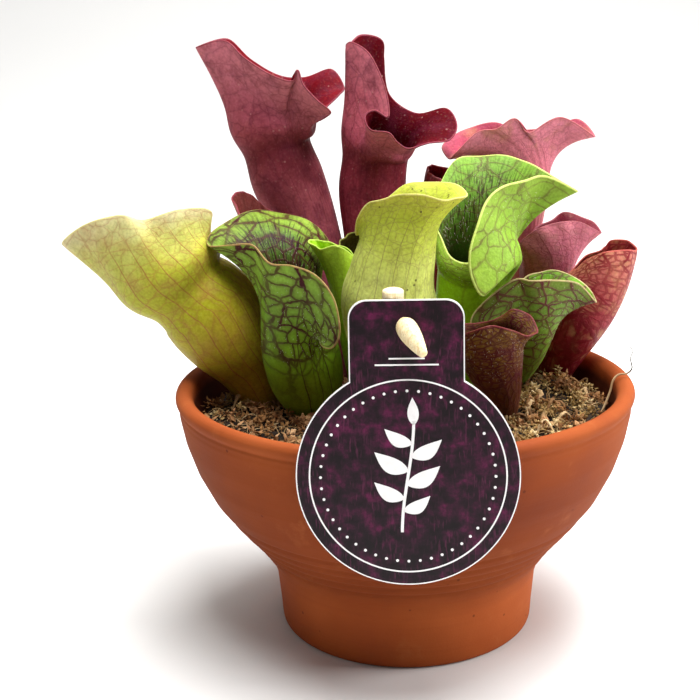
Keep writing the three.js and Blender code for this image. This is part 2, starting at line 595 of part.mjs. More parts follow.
// One curled strand lying half sunk in the moss.
function mossStrand(draw) {
  const radius = 12 + 46 * Math.sqrt(draw());
  const around = 2 * Math.PI * draw();
  const heading = 2 * Math.PI * draw();
  const curl = (draw() - 0.5) * 3;
  const size = 0.9 + 0.5 * draw();
  const rows = [];
  let x = radius * Math.cos(around);
  let y = radius * Math.sin(around);
  for (let i = 0; i < 4; i += 1) {
    const arch = i === 0 || i === 3 ? -0.8 : 0.3;
    rows.push([x, y, mossHeight(x, y) + arch, i === 0 || i === 3 ? size * 0.6 : size]);
    x += 3 * Math.cos(heading + curl * i * 0.4);
    y += 3 * Math.sin(heading + curl * i * 0.4);
  }
  return Math.max(...rows.map((row) => Math.hypot(row[0], row[1]))) < 61 ? rows : null;
}

function mossSolid() {
  const draw = seededDraw(71);
  let moss = mossBody();
  for (let i = 0; i < MOSS_STRANDS; i += 1) {
    const rows = mossStrand(draw);
    if (rows) {
      moss = moss.add(solidOf(rodGeometry(rows, 3, 4)));
    }
  }
  for (const hole of [...stemHoles, rhizomeSolid(2 * GAP)]) {
    moss = moss.subtract(hole);
  }
  moss = moss.subtract(solidOf(rodGeometry(stakeRows, 14, 2, GAP)));
  moss = moss.subtract(solidOf(rodGeometry(fibreRows, 6, 19, GAP)));
  return moss.decompose().sort((a, b) => b.volume() - a.volume())[0];
}
addPiece('moss', geometryOf(mossSolid()), { color: '#8a6d45', roughness: 0.95 });

export default plant;
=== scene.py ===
# A potted pitcher plant: fifteen trumpet leaves in a footed terracotta bowl filled with dried moss, with a
# hang tag pegged to a wooden stake at the front rim. Metres, +Z up, and -Y is the front.
import math

import bpy
import numpy as np
from mathutils import Matrix, Vector
from mathutils.geometry import tessellate_polygon


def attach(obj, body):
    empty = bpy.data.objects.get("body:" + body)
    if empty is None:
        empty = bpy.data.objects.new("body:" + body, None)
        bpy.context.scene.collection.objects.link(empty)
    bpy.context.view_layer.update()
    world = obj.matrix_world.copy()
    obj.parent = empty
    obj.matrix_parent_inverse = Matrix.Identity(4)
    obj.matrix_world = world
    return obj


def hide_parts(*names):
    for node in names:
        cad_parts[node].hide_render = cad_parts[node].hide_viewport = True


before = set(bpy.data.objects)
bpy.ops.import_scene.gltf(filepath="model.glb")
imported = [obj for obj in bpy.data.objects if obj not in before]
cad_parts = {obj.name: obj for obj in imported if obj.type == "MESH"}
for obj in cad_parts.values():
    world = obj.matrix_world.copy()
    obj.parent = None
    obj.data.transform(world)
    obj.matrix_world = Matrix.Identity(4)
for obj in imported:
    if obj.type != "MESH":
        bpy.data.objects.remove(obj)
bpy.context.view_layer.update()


# ---------------------------------------------------------------- camera, lights and floor
# The view is from the front and a little above, from about 0.36 m away. The main light is soft and comes
# from above and from the right, so the pot's front is in shade. The floor is a pale sheet that sweeps up at
# the back.
CAMERA_PLACE = (0.0, -0.3575, 0.1822)
CAMERA_YAW = math.radians(-2.61)
CAMERA_PITCH = math.radians(14.91)
CAMERA_ROLL = math.radians(-1.37)
CAMERA_CLIP = 0.01
FOCAL_PIXELS = 1200
FRAME_PIXELS = 700
SENSOR = 36.0
# name: (place, what it points at, side, watts)
LAMPS = {
    "top_lamp": ((0.12, 0.2, 0.95), (0.0, 0.0, 0.08), 0.5, 9.0),
    "right_lamp": ((0.85, 0.05, 0.42), (0.0, 0.0, 0.07), 0.45, 8.0),
    "left_lamp": ((-0.85, 0.0, 0.4), (0.0, 0.0, 0.07), 0.4, 0.4),
    "front_lamp": ((0.12, -0.36, 1.1), (0.0, 0.0, 0.12), 0.45, 11.5),
    "wall_lamp": ((0.0, 0.55, 1.7), (0.0, 1.5, 0.3), 1.4, 23.0),
}
SKY_COLOR = (1.0, 1.0, 1.0, 1.0)
SKY_STRENGTH = 0.16
SHEET_HALF_WIDTH = 4.0
SHEET_FRONT = -1.6         # the level part of the sheet runs from here to the back, then bends up
SHEET_BACK = 0.5
SHEET_BEND = 1.6
SHEET_BEND_ROWS = 33
SHEET_TOP = 2.4


def linear(hex_color):
    """An (r, g, b, 1) colour in linear light from an sRGB colour written as six hex digits."""
    srgb = [int(hex_color[i:i + 2], 16) / 255 for i in (0, 2, 4)]
    return tuple(c / 12.92 if c <= 0.04045 else ((c + 0.055) / 1.055) ** 2.4 for c in srgb) + (1.0,)


def camera_turn():
    """The camera's rotation: it looks along a line set by yaw and pitch, then rolls about that line."""
    cy, sy = math.cos(CAMERA_YAW), math.sin(CAMERA_YAW)
    cp, sp = math.cos(CAMERA_PITCH), math.sin(CAMERA_PITCH)
    ahead = Vector((sy * cp, cy * cp, -sp))
    level = Vector((cy, -sy, 0.0))
    upright = level.cross(ahead)
    cr, sr = math.cos(CAMERA_ROLL), math.sin(CAMERA_ROLL)
    right = cr * level + sr * upright
    up = cr * upright - sr * level
    return Matrix((right, up, -ahead)).transposed()


camera = bpy.data.objects.new("camera", bpy.data.cameras.new("camera"))
camera.data.sensor_width = SENSOR
camera.data.lens = SENSOR * FOCAL_PIXELS / FRAME_PIXELS
camera.data.clip_start = CAMERA_CLIP
camera.matrix_world = Matrix.Translation(CAMERA_PLACE) @ camera_turn().to_4x4()
bpy.context.scene.collection.objects.link(camera)
bpy.context.scene.camera = camera

for lamp_name, (lamp_place, lamp_target, lamp_side, lamp_watts) in LAMPS.items():
    lamp = bpy.data.objects.new(lamp_name, bpy.data.lights.new(lamp_name, "AREA"))
    lamp.data.size = lamp_side
    lamp.data.energy = lamp_watts
    lamp.location = lamp_place
    lamp.rotation_euler = (Vector(lamp_target) - Vector(lamp_place)).to_track_quat("-Z", "Y").to_euler()
    bpy.context.scene.collection.objects.link(lamp)

world = bpy.data.worlds.new("studio")
world.use_nodes = True
sky = world.node_tree.nodes["Background"].inputs
sky["Color"].default_value = SKY_COLOR
sky["Strength"].default_value = SKY_STRENGTH
bpy.context.scene.world = world
bpy.context.scene.view_settings.view_transform = "Standard"


class Finish:
    """A node material under construction, with short names for the nodes that every finish here uses."""

    def __init__(self, name, roughness, shine=None):
        self.material = bpy.data.materials.new(name)
        self.material.use_nodes = True
        self.tree = self.material.node_tree
        self.shader = self.tree.nodes["Principled BSDF"]
        self.shader.inputs["Roughness"].default_value = roughness
        if shine is not None:
            self.shader.inputs["Specular IOR Level"].default_value = shine

    def join(self, sockets, key, value):
        """A socket is given a value, a colour as hex digits, or the output of another node."""
        if isinstance(value, bpy.types.NodeSocket):
            self.tree.links.new(value, sockets[key])
        else:
            sockets[key].default_value = linear(value) if isinstance(value, str) else value

    def put(self, kind, sockets=None, **settings):
        """A new node."""
        made = self.tree.nodes.new(kind)
        for key, value in settings.items():
            setattr(made, key, value)
        for key, value in (sockets or {}).items():
            self.join(made.inputs, key, value)
        return made

    def place(self, stretch=(1.0, 1.0, 1.0), turn=(0.0, 0.0, 0.0)):
        """The point on the piece in metres, stretched and turned."""
        where = self.put("ShaderNodeTexCoord").outputs["Object"]
        sockets = {"Vector": where, "Scale": stretch, "Rotation": turn}
        return self.put("ShaderNodeMapping", sockets).outputs["Vector"]

    def height(self):
        """How high the point on the piece lies, in metres."""
        return self.put("ShaderNodeSeparateXYZ", {"Vector": self.place()}).outputs["Z"]

    def value(self, name):
        """A number that the mesh holds for each of its points."""
        return self.put("ShaderNodeAttribute", attribute_name=name).outputs["Fac"]

    def sum(self, a, b, how="ADD"):
        """Two numbers put together by plain arithmetic."""
        return self.put("ShaderNodeMath", {0: a, 1: b}, operation=how).outputs[0]

    def times(self, a, b):
        """Two numbers multiplied."""
        return self.sum(a, b, "MULTIPLY")

    def swing(self, value, reach):
        """A value from 0 to 1 turned into one that swings about 0, over the given reach in all."""
        return self.times(self.sum(value, 0.5, "SUBTRACT"), reach)

    def noise(self, size, detail=2.0, where=None, rough=0.5):
        """A soft random value from 0 to 1 with lumps of about size, in metres where no vector is given."""
        sockets = {"Vector": where or self.place(), "Scale": 1 / size, "Detail": detail, "Roughness": rough}
        return self.put("ShaderNodeTexNoise", sockets).outputs[0]

    def dots(self, per_metre):
        """The distance to the nearest of many scattered points, in steps of their mean gap."""
        sockets = {"Vector": self.place(), "Scale": per_metre}
        return self.put("ShaderNodeTexVoronoi", sockets).outputs["Distance"]

    def step(self, value, low, high, to_low=0.0, to_high=1.0):
        """A value that goes smoothly from to_low to to_high as the given one goes from low to high."""
        sockets = {"Value": value, "From Min": low, "From Max": high, "To Min": to_low, "To Max": to_high}
        return self.put("ShaderNodeMapRange", sockets, interpolation_type="SMOOTHSTEP").outputs[0]

    def blend(self, share, first, second, how="MIX"):
        """Two colours mixed, by a share from 0 to 1."""
        made = self.put("ShaderNodeMix", data_type="RGBA", blend_type=how)
        for index, value in ((0, share), (6, first), (7, second)):
            self.join(made.inputs, index, value)
        return made.outputs[2]

    def ramp(self, value, stops):
        """A colour that runs through the stops, each a (place, hex colour) pair."""
        made = self.put("ShaderNodeValToRGB", {"Fac": value})
        line = made.color_ramp.elements
        for spare, (at, color) in enumerate(stops):
            element = line[spare] if spare < 2 else line.new(at)
            element.position = at
            element.color = linear(color)
        return made.outputs["Color"]

    def wear(self, color, height=None, depth=0.0001, strength=1.0, roughness=None):
        """Sets the shader's colour, and its bump and roughness where they are given."""
        self.tree.links.new(color, self.shader.inputs["Base Color"])
        if height is not None:
            sockets = {"Height": height, "Distance": depth, "Strength": strength}
            bump = self.put("ShaderNodeBump", sockets)
            self.tree.links.new(bump.outputs["Normal"], self.shader.inputs["Normal"])
        if roughness is not None:
            self.tree.links.new(roughness, self.shader.inputs["Roughness"])
        return self.material


def new_piece(name, points, faces, finishes, smooth=True):
    """An object at the origin with a new mesh, whose points are in metres."""
    mesh = bpy.data.meshes.new(name)
    mesh.from_pydata(points, [], faces)
    if smooth:
        mesh.polygons.foreach_set("use_smooth", np.ones(len(mesh.polygons), bool))
    for finish_material in finishes:
        mesh.materials.append(finish_material)
    piece = bpy.data.objects.new(name, mesh)
    bpy.context.scene.collection.objects.link(piece)
    return piece


def floor_finish():
    """Pale matt card with a very faint cloudiness."""
    finish = Finish("pale_floor", 0.85)
    return finish.wear(finish.ramp(finish.noise(0.4), [(0.0, "dedddb"), (1.0, "e4e3e1")]))


sweep = [(SHEET_FRONT, 0.0)]
for angle in np.linspace(0, np.pi / 2, SHEET_BEND_ROWS):
    sweep.append((SHEET_BACK + SHEET_BEND * math.sin(angle), SHEET_BEND * (1 - math.cos(angle))))
sweep.append((SHEET_BACK + SHEET_BEND, SHEET_TOP))
floor = new_piece(
    "floor", [(side * SHEET_HALF_WIDTH, y, z) for y, z in sweep for side in (-1, 1)],
    [(2 * i, 2 * i + 1, 2 * i + 3, 2 * i + 2) for i in range(len(sweep) - 1)], [floor_finish()],
)


# ---------------------------------------------------------------- the pot
# A bowl on a narrow foot, thrown from red earthenware and fired without a glaze. The rolled bead under the
# lip and the fine grooves were turned on the wheel, and dust and lime leave pale patches on the clay.
MM = 0.001
POT_SEGMENTS = 232
POT_FLOOR = 6.0
POT_OUTSIDE = np.array([
    (0.0, 0.0), (38.8, 0.0), (39.5, 0.35), (39.9, 1.2), (40.2, 6.0), (41.2, 17.0), (42.6, 21.5), (48.2, 29.4),
    (54.5, 36.8), (60.4, 45.0), (64.8, 54.0), (67.7, 63.0), (69.2, 71.2), (69.0, 71.8), (69.3, 72.4),
    (69.25, 73.0), (68.95, 73.5), (69.6, 74.1), (70.2, 75.2), (70.1, 76.4), (69.3, 77.5), (68.2, 77.9),
])
POT_INSIDE = np.array([
    (67.2, 77.85), (66.2, 77.5), (65.2, 76.6), (64.8, 75.4), (64.3, 71.0), (63.2, 63.0), (60.2, 54.0),
    (55.6, 45.0), (49.8, 37.4), (40.6, 27.4), (36.6, 19.0), (35.4, 9.0), (33.0, POT_FLOOR), (0.0, POT_FLOOR),
])
POT_SIDES = ((POT_OUTSIDE, 0.5, 5), (POT_INSIDE, 1.6, 1))      # corners, step, rounds of softening
GROOVE_HEIGHTS = (26.4, 29.8, 33.0, 36.4, 40.2)
GROOVE_DEPTH = 0.7
GROOVE_HALF_WIDTH = 0.8
POT_DAMP_SHADE_FROM = 76.0      # the inside darkens from this height down, over the fade below: partly wet clay, partly painted shade
POT_DAMP_SHADE_FADE = 5.0
POT_PAINTED_LIGHT_TOP = 80.0      # the painted light and shade run from the base up to this height: foot, belly, lip
POT_PAINTED_LIGHT = [(0.2, "ffffff"), (0.33, "c7bfb8"), (0.7, "c9c1ba"), (0.85, "dcd8d4"), (0.94, "eeeeee")]


def cubic(rows, first, places):
    """Rows read at fractional places, by the cubic through four of them, of which the first is given."""
    t = (places - first)[:, None]
    a, b, c, d = (rows[first + k] for k in range(4))
    line = 2 * b + (c - a) * t
    return 0.5 * (line + (2 * a - 5 * b + 4 * c - d) * t ** 2 + (3 * b - a - 3 * c + d) * t ** 3)


def spline(rows, places):
    """An open list of rows read at fractional places. Its ends are carried on in a straight line."""
    rows = np.asarray(rows, float)
    longer = np.vstack([2 * rows[0] - rows[1], rows, 2 * rows[-1] - rows[-2]])
    return cubic(longer, np.clip(np.floor(places).astype(int), 0, len(rows) - 2), places)


def grid_piece(name, points, finish_material, uv=None, values=None):
    """A closed mesh over a grid of points (rows, columns, 3) in metres, its faces turned by the right hand.

    The last column joins the first, and a fan closes the first and the last row. uv holds (rows,
    columns + 1, 2) texture places, and values named numbers for each point.
    """
    rows, columns = points.shape[:2]
    i, j = np.arange(rows - 1)[:, None], np.arange(columns)[None, :]
    here, after = i * columns + j, i * columns + (j + 1) % columns
    quads = np.stack([here, after, after + columns, here + columns], -1).reshape(-1, 4)
    ends = [
        np.stack([np.full(columns, rows * columns), after[0], here[0]], -1),
        np.stack([np.full(columns, rows * columns + 1), here[-1] + columns, after[-1] + columns], -1),
    ]
    flat = np.vstack([points.reshape(-1, 3), points[0].mean(0), points[-1].mean(0)])
    piece = new_piece(name, flat.tolist(), quads.tolist() + np.vstack(ends).tolist(), [finish_material])
    if uv is not None:
        grid_uv = np.stack([uv[i, j], uv[i, j + 1], uv[i + 1, j + 1], uv[i + 1, j]], 2).reshape(-1, 2)
        fan_uv = [np.tile(uv[row, :columns].mean(0), (3 * columns, 1)) for row in (0, -1)]
        layer = piece.data.uv_layers.new(name="skin")
        layer.data.foreach_set("uv", np.vstack([grid_uv] + fan_uv).astype(np.float32).ravel())
    for key, numbers in (values or {}).items():
        full = np.zeros(len(flat), np.float32)
        full[:rows * columns] = np.asarray(numbers, np.float32).ravel()
        piece.data.attributes.new(key, "FLOAT", "POINT").data.foreach_set("value", full)
    piece.data.update()
    return piece


def settle(piece, node):
    """A finished piece rides on the plant's one body and stands for its CAD node, which it hides."""
    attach(piece, "root")
    if node:
        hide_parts(node)


def even_profile(corners, step):
    """A profile with points about one step apart, on straight stretches between the given corners."""
    lengths = np.linalg.norm(np.diff(corners, axis=0), axis=1)
    along = np.concatenate([[0], np.cumsum(lengths)])
    places = np.linspace(0, along[-1], int(along[-1] / step))
    places = np.unique(np.concatenate([places, along]))
    return np.stack([np.interp(places, along, corners[:, k]) for k in (0, 1)], -1)


def pot_profile():
    """Radius and height from the middle of the base, up the outside, over the lip and down the inside.

    Each side is softened by averaging neighbours, and the grooves are narrow dips in the outer radius.
    """
    sides = []
    for corners, step, rounds in POT_SIDES:
        side = even_profile(corners, step)
        for _ in range(rounds):
            side[1:-1] = (side[:-2] + 2 * side[1:-1] + side[2:]) / 4
        sides.append(side)
    outer = sides[0]
    for height in GROOVE_HEIGHTS:
        outer[:, 0] -= GROOVE_DEPTH * np.exp(-((outer[:, 1] - height) / GROOVE_HALF_WIDTH) ** 2)
    return np.vstack(sides)


def clay_finish():
    """Unglazed clay: orange-brown and cloudy, with chalky bloom, wheel lines, a fine grain and an inside
    darkened partly as wet clay and partly as painted shade.

    Light and shade are also painted by height: the foot is the brightest, then the lip, and the belly is
    darkened as painted shade.
    """
    finish = Finish("clay", 0.82, shine=0.12)
    cloud = finish.noise(0.035, 4.0)
    color = finish.ramp(cloud, [(0.25, "8d3f1c"), (0.5, "9d4b20"), (0.75, "ac582b")])
    # Painted light and shade by height: the belly is darkened, and the foot and lip are left light.
    band = finish.ramp(finish.times(finish.height(), 1000 / POT_PAINTED_LIGHT_TOP), POT_PAINTED_LIGHT)
    color = finish.blend(1.0, color, band, "MULTIPLY")
    chalk = finish.step(finish.noise(0.012, 6.0, rough=0.7), 0.56, 0.8, 0.0, 0.25)
    color = finish.blend(chalk, color, "b87242")
    rings = finish.noise(0.0011, 3.0, finish.place((0.02, 0.02, 1.0)))
    color = finish.blend(finish.step(rings, 0.5, 0.75, 0.0, 0.16), color, "83371a")
    grain = finish.noise(0.0006, 3.0)
    color = finish.blend(finish.step(grain, 0.62, 0.8, 0.0, 0.25), color, "7c351a")
    pits = finish.step(finish.dots(150.0), 0.05, 0.09, 0.6, 0.0)
    color = finish.blend(pits, color, "4a1d0e")
    # The inside below the lip is darkened: partly wet clay, partly painted shade.
    damp_and_shade = finish.sum(finish.value("inside"), finish.swing(finish.noise(0.008, 3.0), 0.5))
    color = finish.blend(finish.step(damp_and_shade, 0.2, 0.8, 0.0, 0.85), color, "3e160b")
    height = finish.sum(finish.times(rings, 0.7), finish.times(grain, 0.5))
    return finish.wear(color, height, 0.00016, 0.7, finish.step(cloud, 0.2, 0.8, 0.68, 0.86))


pot_turn = np.linspace(0, 2 * np.pi, POT_SEGMENTS, endpoint=False)
pot_line = pot_profile()[1:-1]
pot_points = np.stack([
    pot_line[:, :1] * np.cos(pot_turn), pot_line[:, :1] * np.sin(pot_turn),
    pot_line[:, 1:] * np.ones(POT_SEGMENTS),
], -1) * MM
pot_depth = np.zeros(len(pot_line))
lip_row = int(np.argmax(pot_line[:, 1]))
pot_depth[lip_row:] = np.clip((POT_DAMP_SHADE_FROM - pot_line[lip_row:, 1]) / POT_DAMP_SHADE_FADE, 0, 1)
pot_values = {"inside": np.repeat(pot_depth, POT_SEGMENTS)}
settle(grid_piece("terracotta_pot", pot_points, clay_finish(), values=pot_values), "pot")


# ---------------------------------------------------------------- the pitchers
# Each leaf has grown into a tube that widens upwards, with a waved hood round its mouth. The tissue is less
# than a millimetre thick, firm and satin, with a net of veins in a darker colour. All of them grow from a
# creeping stem in the moss. Rows are in millimetres.
LEAF_WALL = 0.8
LEAF_COLUMNS = 144
TUBE_ROWS = 44
HOOD_ROWS = 60
HOLLOW_FROM = 14         # the tube is solid below this row
KNEE_REACH = 0.9
KNEE_SPREAD = 2.0        # how far the knees are evened out, in squared columns of a coarse leaf
COARSE_COLUMNS = 26
THROAT_REACH = (4, 5)    # rows below and above the throat that are softened, in so many rounds
THROAT_ROUNDS = 6
RIB_COUNT = 18
RIB_HEIGHT = 0.04
RIB_SHARES = (0.12, 0.67, 0.97)      # shares of the leaf where the ribs are full, start to fade, and are gone
RUFFLE_FROM = 0.6
RUFFLE_GROWTH = 1.8
RUFFLE_WAVES = 9
RUFFLE_DRIFT = (0.35, 6.3)           # how far the waves wander round the rim, and how often
LIP_REACH = 1.4          # width of the band along a free rim in which the wall thins
LIP_TAPER = 0.4
LIP_ANGLES = (0.8, 1.57, 2.34)       # the rows that round the rim off, from the outer to the inner face
LIP_INNER = (0.3, 0.5, 0.7)
NET_GIRTH = 0.085        # the vein net is laid out as if every leaf had this girth and length, in metres
NET_LENGTH = 0.062
NET_LAYERS = ((1.0, 1.0, 0.4), (2.6, 0.42, 0.2))       # relative cell size, vein share and waviness
STAIN_WIDTH = 4.0        # the stain beside a vein reaches this many times as far as the vein's own measure
STAIN_STRENGTH = 0.42
RIM_WIDTH = 0.3
STREAKS_ROUND = 230.0
STREAKS_ALONG = 11.0


def around(rows, count):
    """A closed list of rows read at count even places. Column 0 is an angle that grows by a turn each lap."""
    rows = np.asarray(rows, float)
    lap = np.zeros(rows.shape[1])
    lap[0] = 360.0
    longer = np.vstack([rows[-1] - lap, rows, rows[0] + lap, rows[1] + lap])
    places = np.arange(count) * len(rows) / count
    return cubic(longer, np.floor(places).astype(int), places)


def unit(vectors):
    """The same directions, one long."""
    return vectors / np.maximum(np.linalg.norm(vectors, axis=-1, keepdims=True), 1e-12)


def dot(first, second):
    """The dot product of two fields of directions, with the last axis kept."""
    return (first * second).sum(-1, keepdims=True)


def rings_round(slopes, turn):
    """Directions square to a line of the given slopes: for each of its points, a ring at the given angles."""
    along = unit(slopes)
    across = unit(np.array([1.0, 0, 0]) - along[:, :1] * along)
    behind = np.cross(along, across)
    return np.cos(turn)[None, :, None] * across[:, None] + np.sin(turn)[None, :, None] * behind[:, None]


def leaf_skin(tube, rim):
    """The middle of a leaf's wall as rows of points, up from the root, over the throat and out to the rim.

    The tube is a circle carried along the spline through its rows of x, y, z and radius. A rim row is an
    angle, a flare in degrees and a point. Every column of the hood is a parabola from the throat to its rim
    point. Its knee lies along the tube's wall, tipped outwards by the flare, and the knees are evened out.
    """
    tube = np.asarray(tube, float)
    last = len(tube) - 1
    at = np.linspace(0, last, TUBE_ROWS)
    low, high = np.maximum(at - 1e-3, 0), np.minimum(at + 1e-3, last)
    rise = (spline(tube, high) - spline(tube, low)) / (high - low)[:, None]
    line = spline(tube, at)
    edge = around(rim, LEAF_COLUMNS)
    outward = rings_round(rise[:, :3], np.radians(edge[:, 0]))
    wall = line[:, None, :3] + line[:, None, 3:] * outward
    throat = wall[-1]
    flare = np.radians(edge[:, 1:2])
    along_wall = unit(rise[-1, :3] + rise[-1, 3] * outward[-1])
    sideways = unit(outward[-1] - dot(outward[-1], along_wall) * along_wall)
    start = np.cos(flare) * along_wall + np.sin(flare) * sideways
    chord = edge[:, 2:5] - throat
    length = np.linalg.norm(chord, axis=-1, keepdims=True)
    lean = np.maximum(dot(start, chord) / length, 0.5 / KNEE_REACH)
    knees = throat + start * 0.5 * length / lean
    for _ in range(int(KNEE_SPREAD * (LEAF_COLUMNS / COARSE_COLUMNS) ** 2)):
        knees = (np.roll(knees, 1, 0) + 2 * knees + np.roll(knees, -1, 0)) / 4
    s = np.linspace(0, 1, HOOD_ROWS + 1)[1:, None, None]
    hood = (1 - s) ** 2 * throat + 2 * s * (1 - s) * knees + s ** 2 * edge[:, 2:5]
    skin = np.concatenate([wall, hood])
    low, high = TUBE_ROWS - THROAT_REACH[0], TUBE_ROWS + THROAT_REACH[1]
    for _ in range(THROAT_ROUNDS):
        skin[low:high] = (skin[low - 1:high - 1] + 2 * skin[low:high] + skin[low + 1:high + 1]) / 4
    return skin


def facing(points):
    """The outward direction at every point of a skin: the cross product of its steps round and up."""
    return unit(np.cross(np.roll(points, -1, 1) - np.roll(points, 1, 1), np.gradient(points, axis=0)))


def leaf_piece(name, tube, rim, lip, pinches, finish_material):
    """A whole leaf: its skin thickened to a wall, with a rounded lip and lengthwise ribs.

    The ribs are a cosine round the tube, and the ruffle a slow wave of the hood near its rim. A pinch draws
    the wall in by some millimetres in a soft band round the leaf, and a negative one swells it. lip is how
    much the wall thickens at the rim. The values inner and edge tell the finish which face it is on and how
    many millimetres the rim is away. Returns the skin and its outward directions, for the hairs.
    """
    skin = leaf_skin(tube, rim)
    out = facing(skin)
    count = len(skin)
    share = np.linspace(0, 1, count)[:, None]
    turn = np.linspace(0, 1, LEAF_COLUMNS, endpoint=False)[None, :]
    full, fading, gone = RIB_SHARES
    fade = np.clip(share / full, 0, 1) * np.clip((gone - share) / (gone - fading), 0, 1)
    skin = skin + out * (RIB_HEIGHT * fade * np.cos(2 * np.pi * RIB_COUNT * turn))[..., None]
    for at, depth, width in pinches:
        skin = skin - out * (depth * np.exp(-((share - at) / width) ** 2))[..., None]
    drift = RUFFLE_DRIFT[0] * np.sin(RUFFLE_DRIFT[1] * turn)
    wave = np.sin(2 * np.pi * (RUFFLE_WAVES * turn + drift)) * np.clip(share - RUFFLE_FROM, 0, 1) ** 2
    skin = skin + out * (RUFFLE_GROWTH * wave)[..., None]
    out = facing(skin)
    steps = np.linalg.norm(np.diff(skin, axis=0), axis=-1)
    away = np.concatenate([np.cumsum(steps[::-1], axis=0)[::-1], np.zeros((1, LEAF_COLUMNS))])
    near_rim = np.exp(-(away / LIP_REACH) ** 2)
    half = LEAF_WALL / 2 * (1 - LIP_TAPER * near_rim) + lip * near_rim
    inner = (skin - out * half[..., None])[HOLLOW_FROM:][::-1]
    tip = unit(skin[-1] - skin[-2])
    bow = [skin[-1] + half[-1][:, None] * (math.cos(a) * out[-1] + math.sin(a) * tip) for a in LIP_ANGLES]
    shell = np.concatenate([skin + out * half[..., None], np.array(bow), inner]) * MM
    up = np.concatenate([share[:, 0], np.ones(len(bow)), share[HOLLOW_FROM:, 0][::-1]])
    uv = np.stack(np.broadcast_arrays(np.linspace(0, 1, LEAF_COLUMNS + 1)[None, :], up[:, None]), -1)
    is_inner = np.concatenate([np.zeros(count), LIP_INNER, np.ones(count - HOLLOW_FROM)])
    values = {
        "inner": np.repeat(is_inner[:, None], LEAF_COLUMNS, 1),
        "edge": np.concatenate([away, np.zeros((len(bow), LEAF_COLUMNS)), away[HOLLOW_FROM:][::-1]]),
    }
    settle(grid_piece("leaf_" + name, shell, finish_material, uv, values), "pitcher_" + name)
    return skin, out


def vein_net(finish, turn, up, net):
    """The share of vein colour in the net and in the stain beside it, from 0 to 1.

    Both are read off the distance to the edges of flat random cells, in two sizes that lie over each other.
    The cells mirror about the middle of the leaf, and a noise bends their edges.
    """
    cell, thin, strength, net_from, net_full = net
    wander = finish.put("ShaderNodeTexNoise", {"Vector": finish.place(), "Scale": 300.0, "Detail": 2.0})
    middle = {0: wander.outputs[1], 1: (0.5, 0.5, 0.5)}
    shift = finish.put("ShaderNodeVectorMath", middle, operation="SUBTRACT").outputs[0]
    half_turn = finish.sum(finish.sum(turn, 0.5, "SUBTRACT"), 0.0, "ABSOLUTE")
    veins, stains = [], []
    for scale, weight, bend in NET_LAYERS:
        flat = finish.put("ShaderNodeCombineXYZ", {
            "X": finish.times(half_turn, NET_GIRTH / (scale * cell)),
            "Y": finish.times(up, NET_LENGTH / (scale * cell)),
        }).outputs[0]
        small = finish.put("ShaderNodeVectorMath", {0: shift, "Scale": bend}, operation="SCALE").outputs[0]
        bent = finish.put("ShaderNodeVectorMath", {0: flat, 1: small}).outputs[0]
        sockets = {"Vector": bent, "Scale": 1.0, "Randomness": 0.85}
        kind = {"feature": "DISTANCE_TO_EDGE", "voronoi_dimensions": "2D"}
        cut = finish.put("ShaderNodeTexVoronoi", sockets, **kind).outputs["Distance"]
        width = thin * weight
        veins.append(finish.step(cut, width * 0.5, width * 1.15, 1.0, 0.0))
        stains.append(finish.step(cut, 0.0, width * STAIN_WIDTH, STAIN_STRENGTH, 0.0))
    grown = finish.step(up, net_from, net_full, 0.0, strength)
    patchy = finish.step(finish.noise(0.009, 2.0), 0.3, 0.6, 0.55, 1.0)
    web = finish.times(finish.sum(finish.times(veins[0], 0.8), veins[1], "MAXIMUM"), patchy)
    return finish.times(web, grown), finish.times(finish.sum(*stains, "MAXIMUM"), grown)


